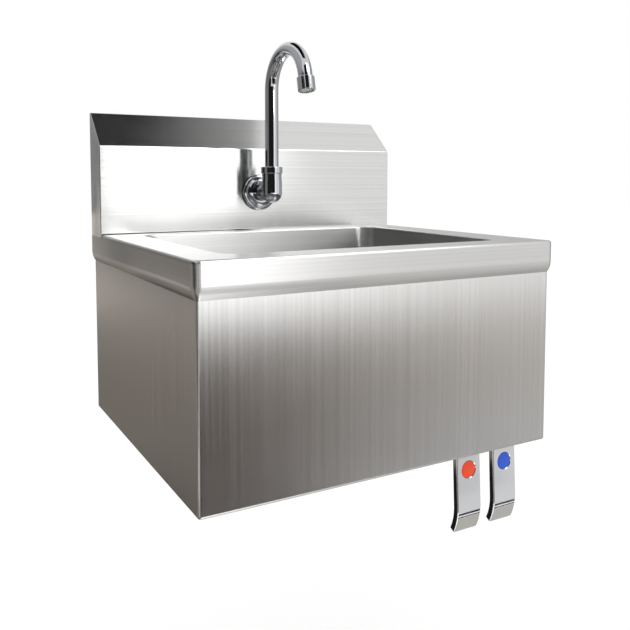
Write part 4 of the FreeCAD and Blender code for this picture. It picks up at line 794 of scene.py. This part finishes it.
def add_floor(stage):
    """The floor that the basin hangs above."""
    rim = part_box("basin_top")[1][2]
    bpy.ops.mesh.primitive_plane_add(size=stage.floor_size, location=(0, 0, rim - stage.rim_height))
    floor = bpy.context.object
    floor.name = "floor"
    bpy.ops.object.transform_apply(location=True)
    floor.data.materials.append(studio_floor(stage.floor_colour, stage.floor_cloud))


def card_light(name, card):
    """A card that glows evenly, or grades from one strength to another."""
    material, tree, place = new_finish(name)
    colour = card.get("colour", WHITE)
    if "ends" not in card:
        even_glow = {"Color": linear(colour), "Strength": card["strength"]}
        show(tree, add_node(tree, "ShaderNodeEmission", feeds=even_glow))
        return material
    if card["axis"] == TURN:
        blend = "LINEAR"
        from_centre = add_node(
            tree, "ShaderNodeVectorMath", {"operation": "SUBTRACT"}, {0: place, 1: TURN_CENTRE},
        )
        parts = add_node(tree, "ShaderNodeSeparateXYZ", feeds={"Vector": from_centre.outputs[0]})
        outward = add_node(
            tree, "ShaderNodeMath", {"operation": "MULTIPLY"}, {0: parts.outputs["Y"], 1: -1.0},
        )
        along = add_node(
            tree, "ShaderNodeMath", {"operation": "ARCTAN2"}, {0: parts.outputs["X"], 1: outward.outputs[0]},
        ).outputs[0]
    else:
        blend = "SMOOTHSTEP"
        parts = add_node(tree, "ShaderNodeSeparateXYZ", feeds={"Vector": place})
        along = parts.outputs[card["axis"]]
    start, end = card["ends"]
    share = add_node(
        tree, "ShaderNodeMapRange", {"interpolation_type": blend},
        {"Value": along, "From Min": start, "From Max": end},
    )
    first, last = [
        [strength * channel for channel in linear(shade)]
        for strength, shade in zip(card["strength"], (card.get("tint", colour), colour))
    ]
    grade = add_node(
        tree, "ShaderNodeMix", {"data_type": "RGBA"}, {"Factor": share.outputs[0], "A": first, "B": last},
    )
    show(tree, add_node(tree, "ShaderNodeEmission", feeds={"Color": grade.outputs["Result"]}))
    return material


def add_card(name, card):
    """A flat rectangle between two corners that only reflections see."""
    middle = [(low + high) / 2 for low, high in zip(card["low"], card["high"])]
    sides = [high - low for low, high in zip(card["low"], card["high"])]
    turn, spans = {
        0: ((0, QUARTER_TURN, 0), (sides[2], sides[1], 1)),
        1: ((QUARTER_TURN, 0, 0), (sides[0], sides[2], 1)),
        2: ((0, 0, 0), (sides[0], sides[1], 1)),
    }[sides.index(0)]
    bpy.ops.mesh.primitive_plane_add(size=1, location=middle, rotation=turn)
    plane = bpy.context.object
    plane.name = name
    plane.scale = spans
    bpy.ops.object.transform_apply(location=True, rotation=True, scale=True)
    plane.data.materials.append(card_light(name, card))
    plane.visible_camera = False
    plane.visible_diffuse = False
    plane.visible_transmission = False
    plane.visible_shadow = False


def white_surroundings(fill_strength):
    """A world that is plain white where it is seen, and lights the basin with its own strength."""
    world = bpy.data.worlds.new("white studio")
    bpy.context.scene.world = world
    world.use_nodes = True
    tree = world.node_tree
    tree.nodes.clear()
    ray = add_node(tree, "ShaderNodeLightPath")
    mirrored = add_node(
        tree, "ShaderNodeMath", {"operation": "MAXIMUM"},
        {0: ray.outputs["Is Camera Ray"], 1: ray.outputs["Is Glossy Ray"]},
    )
    seen = add_node(
        tree, "ShaderNodeMath", {"operation": "MAXIMUM"},
        {0: mirrored.outputs[0], 1: ray.outputs["Is Transmission Ray"]},
    )
    level = add_node(
        tree, "ShaderNodeMapRange", feeds={"Value": seen.outputs[0], "To Min": fill_strength, "To Max": 1.0},
    )
    white = add_node(
        tree, "ShaderNodeBackground", feeds={"Color": linear(WHITE), "Strength": level.outputs[0]},
    )
    add_node(tree, "ShaderNodeOutputWorld", feeds={"Surface": white.outputs[0]})


def soft_lamp(stage):
    """A large lamp above the basin's left front, which no reflection shows."""
    place = (-0.9, -1.3, 1.5)
    turn = (math.radians(38), 0, math.radians(-34))
    bpy.ops.object.light_add(type="AREA", location=place)
    lamp = bpy.context.object
    lamp.name = "soft lamp"
    lamp.data.size = stage.lamp_size
    lamp.data.energy = stage.lamp_power
    lamp.rotation_euler = turn
    lamp.visible_glossy = False
    lamp.visible_camera = False


def add_camera(stage):
    """The camera, at the place that the picture was taken from."""
    bpy.ops.object.camera_add(
        location=(stage.camera_x, stage.camera_y, stage.camera_z),
        rotation=(QUARTER_TURN - stage.camera_tilt, 0, -stage.camera_turn),
    )
    camera = bpy.context.object
    camera.data.lens = stage.camera_lens
    camera.data.shift_y = stage.camera_rise
    bpy.context.scene.camera = camera


class BASIN_OT_stage(Operator):
    """Adds the floor, the white surroundings, the reflection cards, the lamp and the camera"""

    bl_idname = "basin.stage"
    bl_label = "Set the studio"

    def execute(self, context):
        stage = context.scene.basin_stage
        bpy.ops.object.select_all(action="DESELECT")
        add_floor(stage)
        for name, card in CARDS.items():
            add_card(name, card)
        white_surroundings(stage.fill_strength)
        soft_lamp(stage)
        add_camera(stage)
        context.scene.view_settings.view_transform = "Standard"
        return {"FINISHED"}


class BASIN_PT_sidebar(Panel):
    """Lists the basin's operators and settings."""

    bl_label = "Hand basin"
    bl_idname = "BASIN_PT_sidebar"
    bl_space_type = "VIEW_3D"
    bl_region_type = "UI"
    bl_category = "Basin"

    def draw(self, context):
        for maker in MAKERS:
            self.layout.operator(maker.bl_idname)
        scene = context.scene
        for group in (scene.basin_finishes, scene.basin_details, scene.basin_stage):
            box = self.layout.box()
            for name in group.__annotations__:
                box.prop(group, name)


MAKERS = (
    BASIN_OT_sheet_steel, BASIN_OT_chrome, BASIN_OT_index_discs, BASIN_OT_fittings, BASIN_OT_threads,
    BASIN_OT_springs, BASIN_OT_joint_weld, BASIN_OT_stage,
)
CLASSES = (BasinFinishes, BasinDetails, BasinStage, *MAKERS, BASIN_PT_sidebar)


def register():
    for kind in CLASSES:
        bpy.utils.register_class(kind)
    bpy.types.Scene.basin_finishes = PointerProperty(type=BasinFinishes)
    bpy.types.Scene.basin_details = PointerProperty(type=BasinDetails)
    bpy.types.Scene.basin_stage = PointerProperty(type=BasinStage)


def unregister():
    del bpy.types.Scene.basin_stage
    del bpy.types.Scene.basin_details
    del bpy.types.Scene.basin_finishes
    for kind in reversed(CLASSES):
        bpy.utils.unregister_class(kind)


def main():
    register()
    bpy.ops.basin.sheet_steel()
    bpy.ops.basin.chrome()
    bpy.ops.basin.index_discs()
    bpy.ops.basin.fittings()
    bpy.ops.basin.threads()
    bpy.ops.basin.springs()
    bpy.ops.basin.joint_weld()
    bpy.ops.basin.stage()


if __name__ == "__main__":
    main()
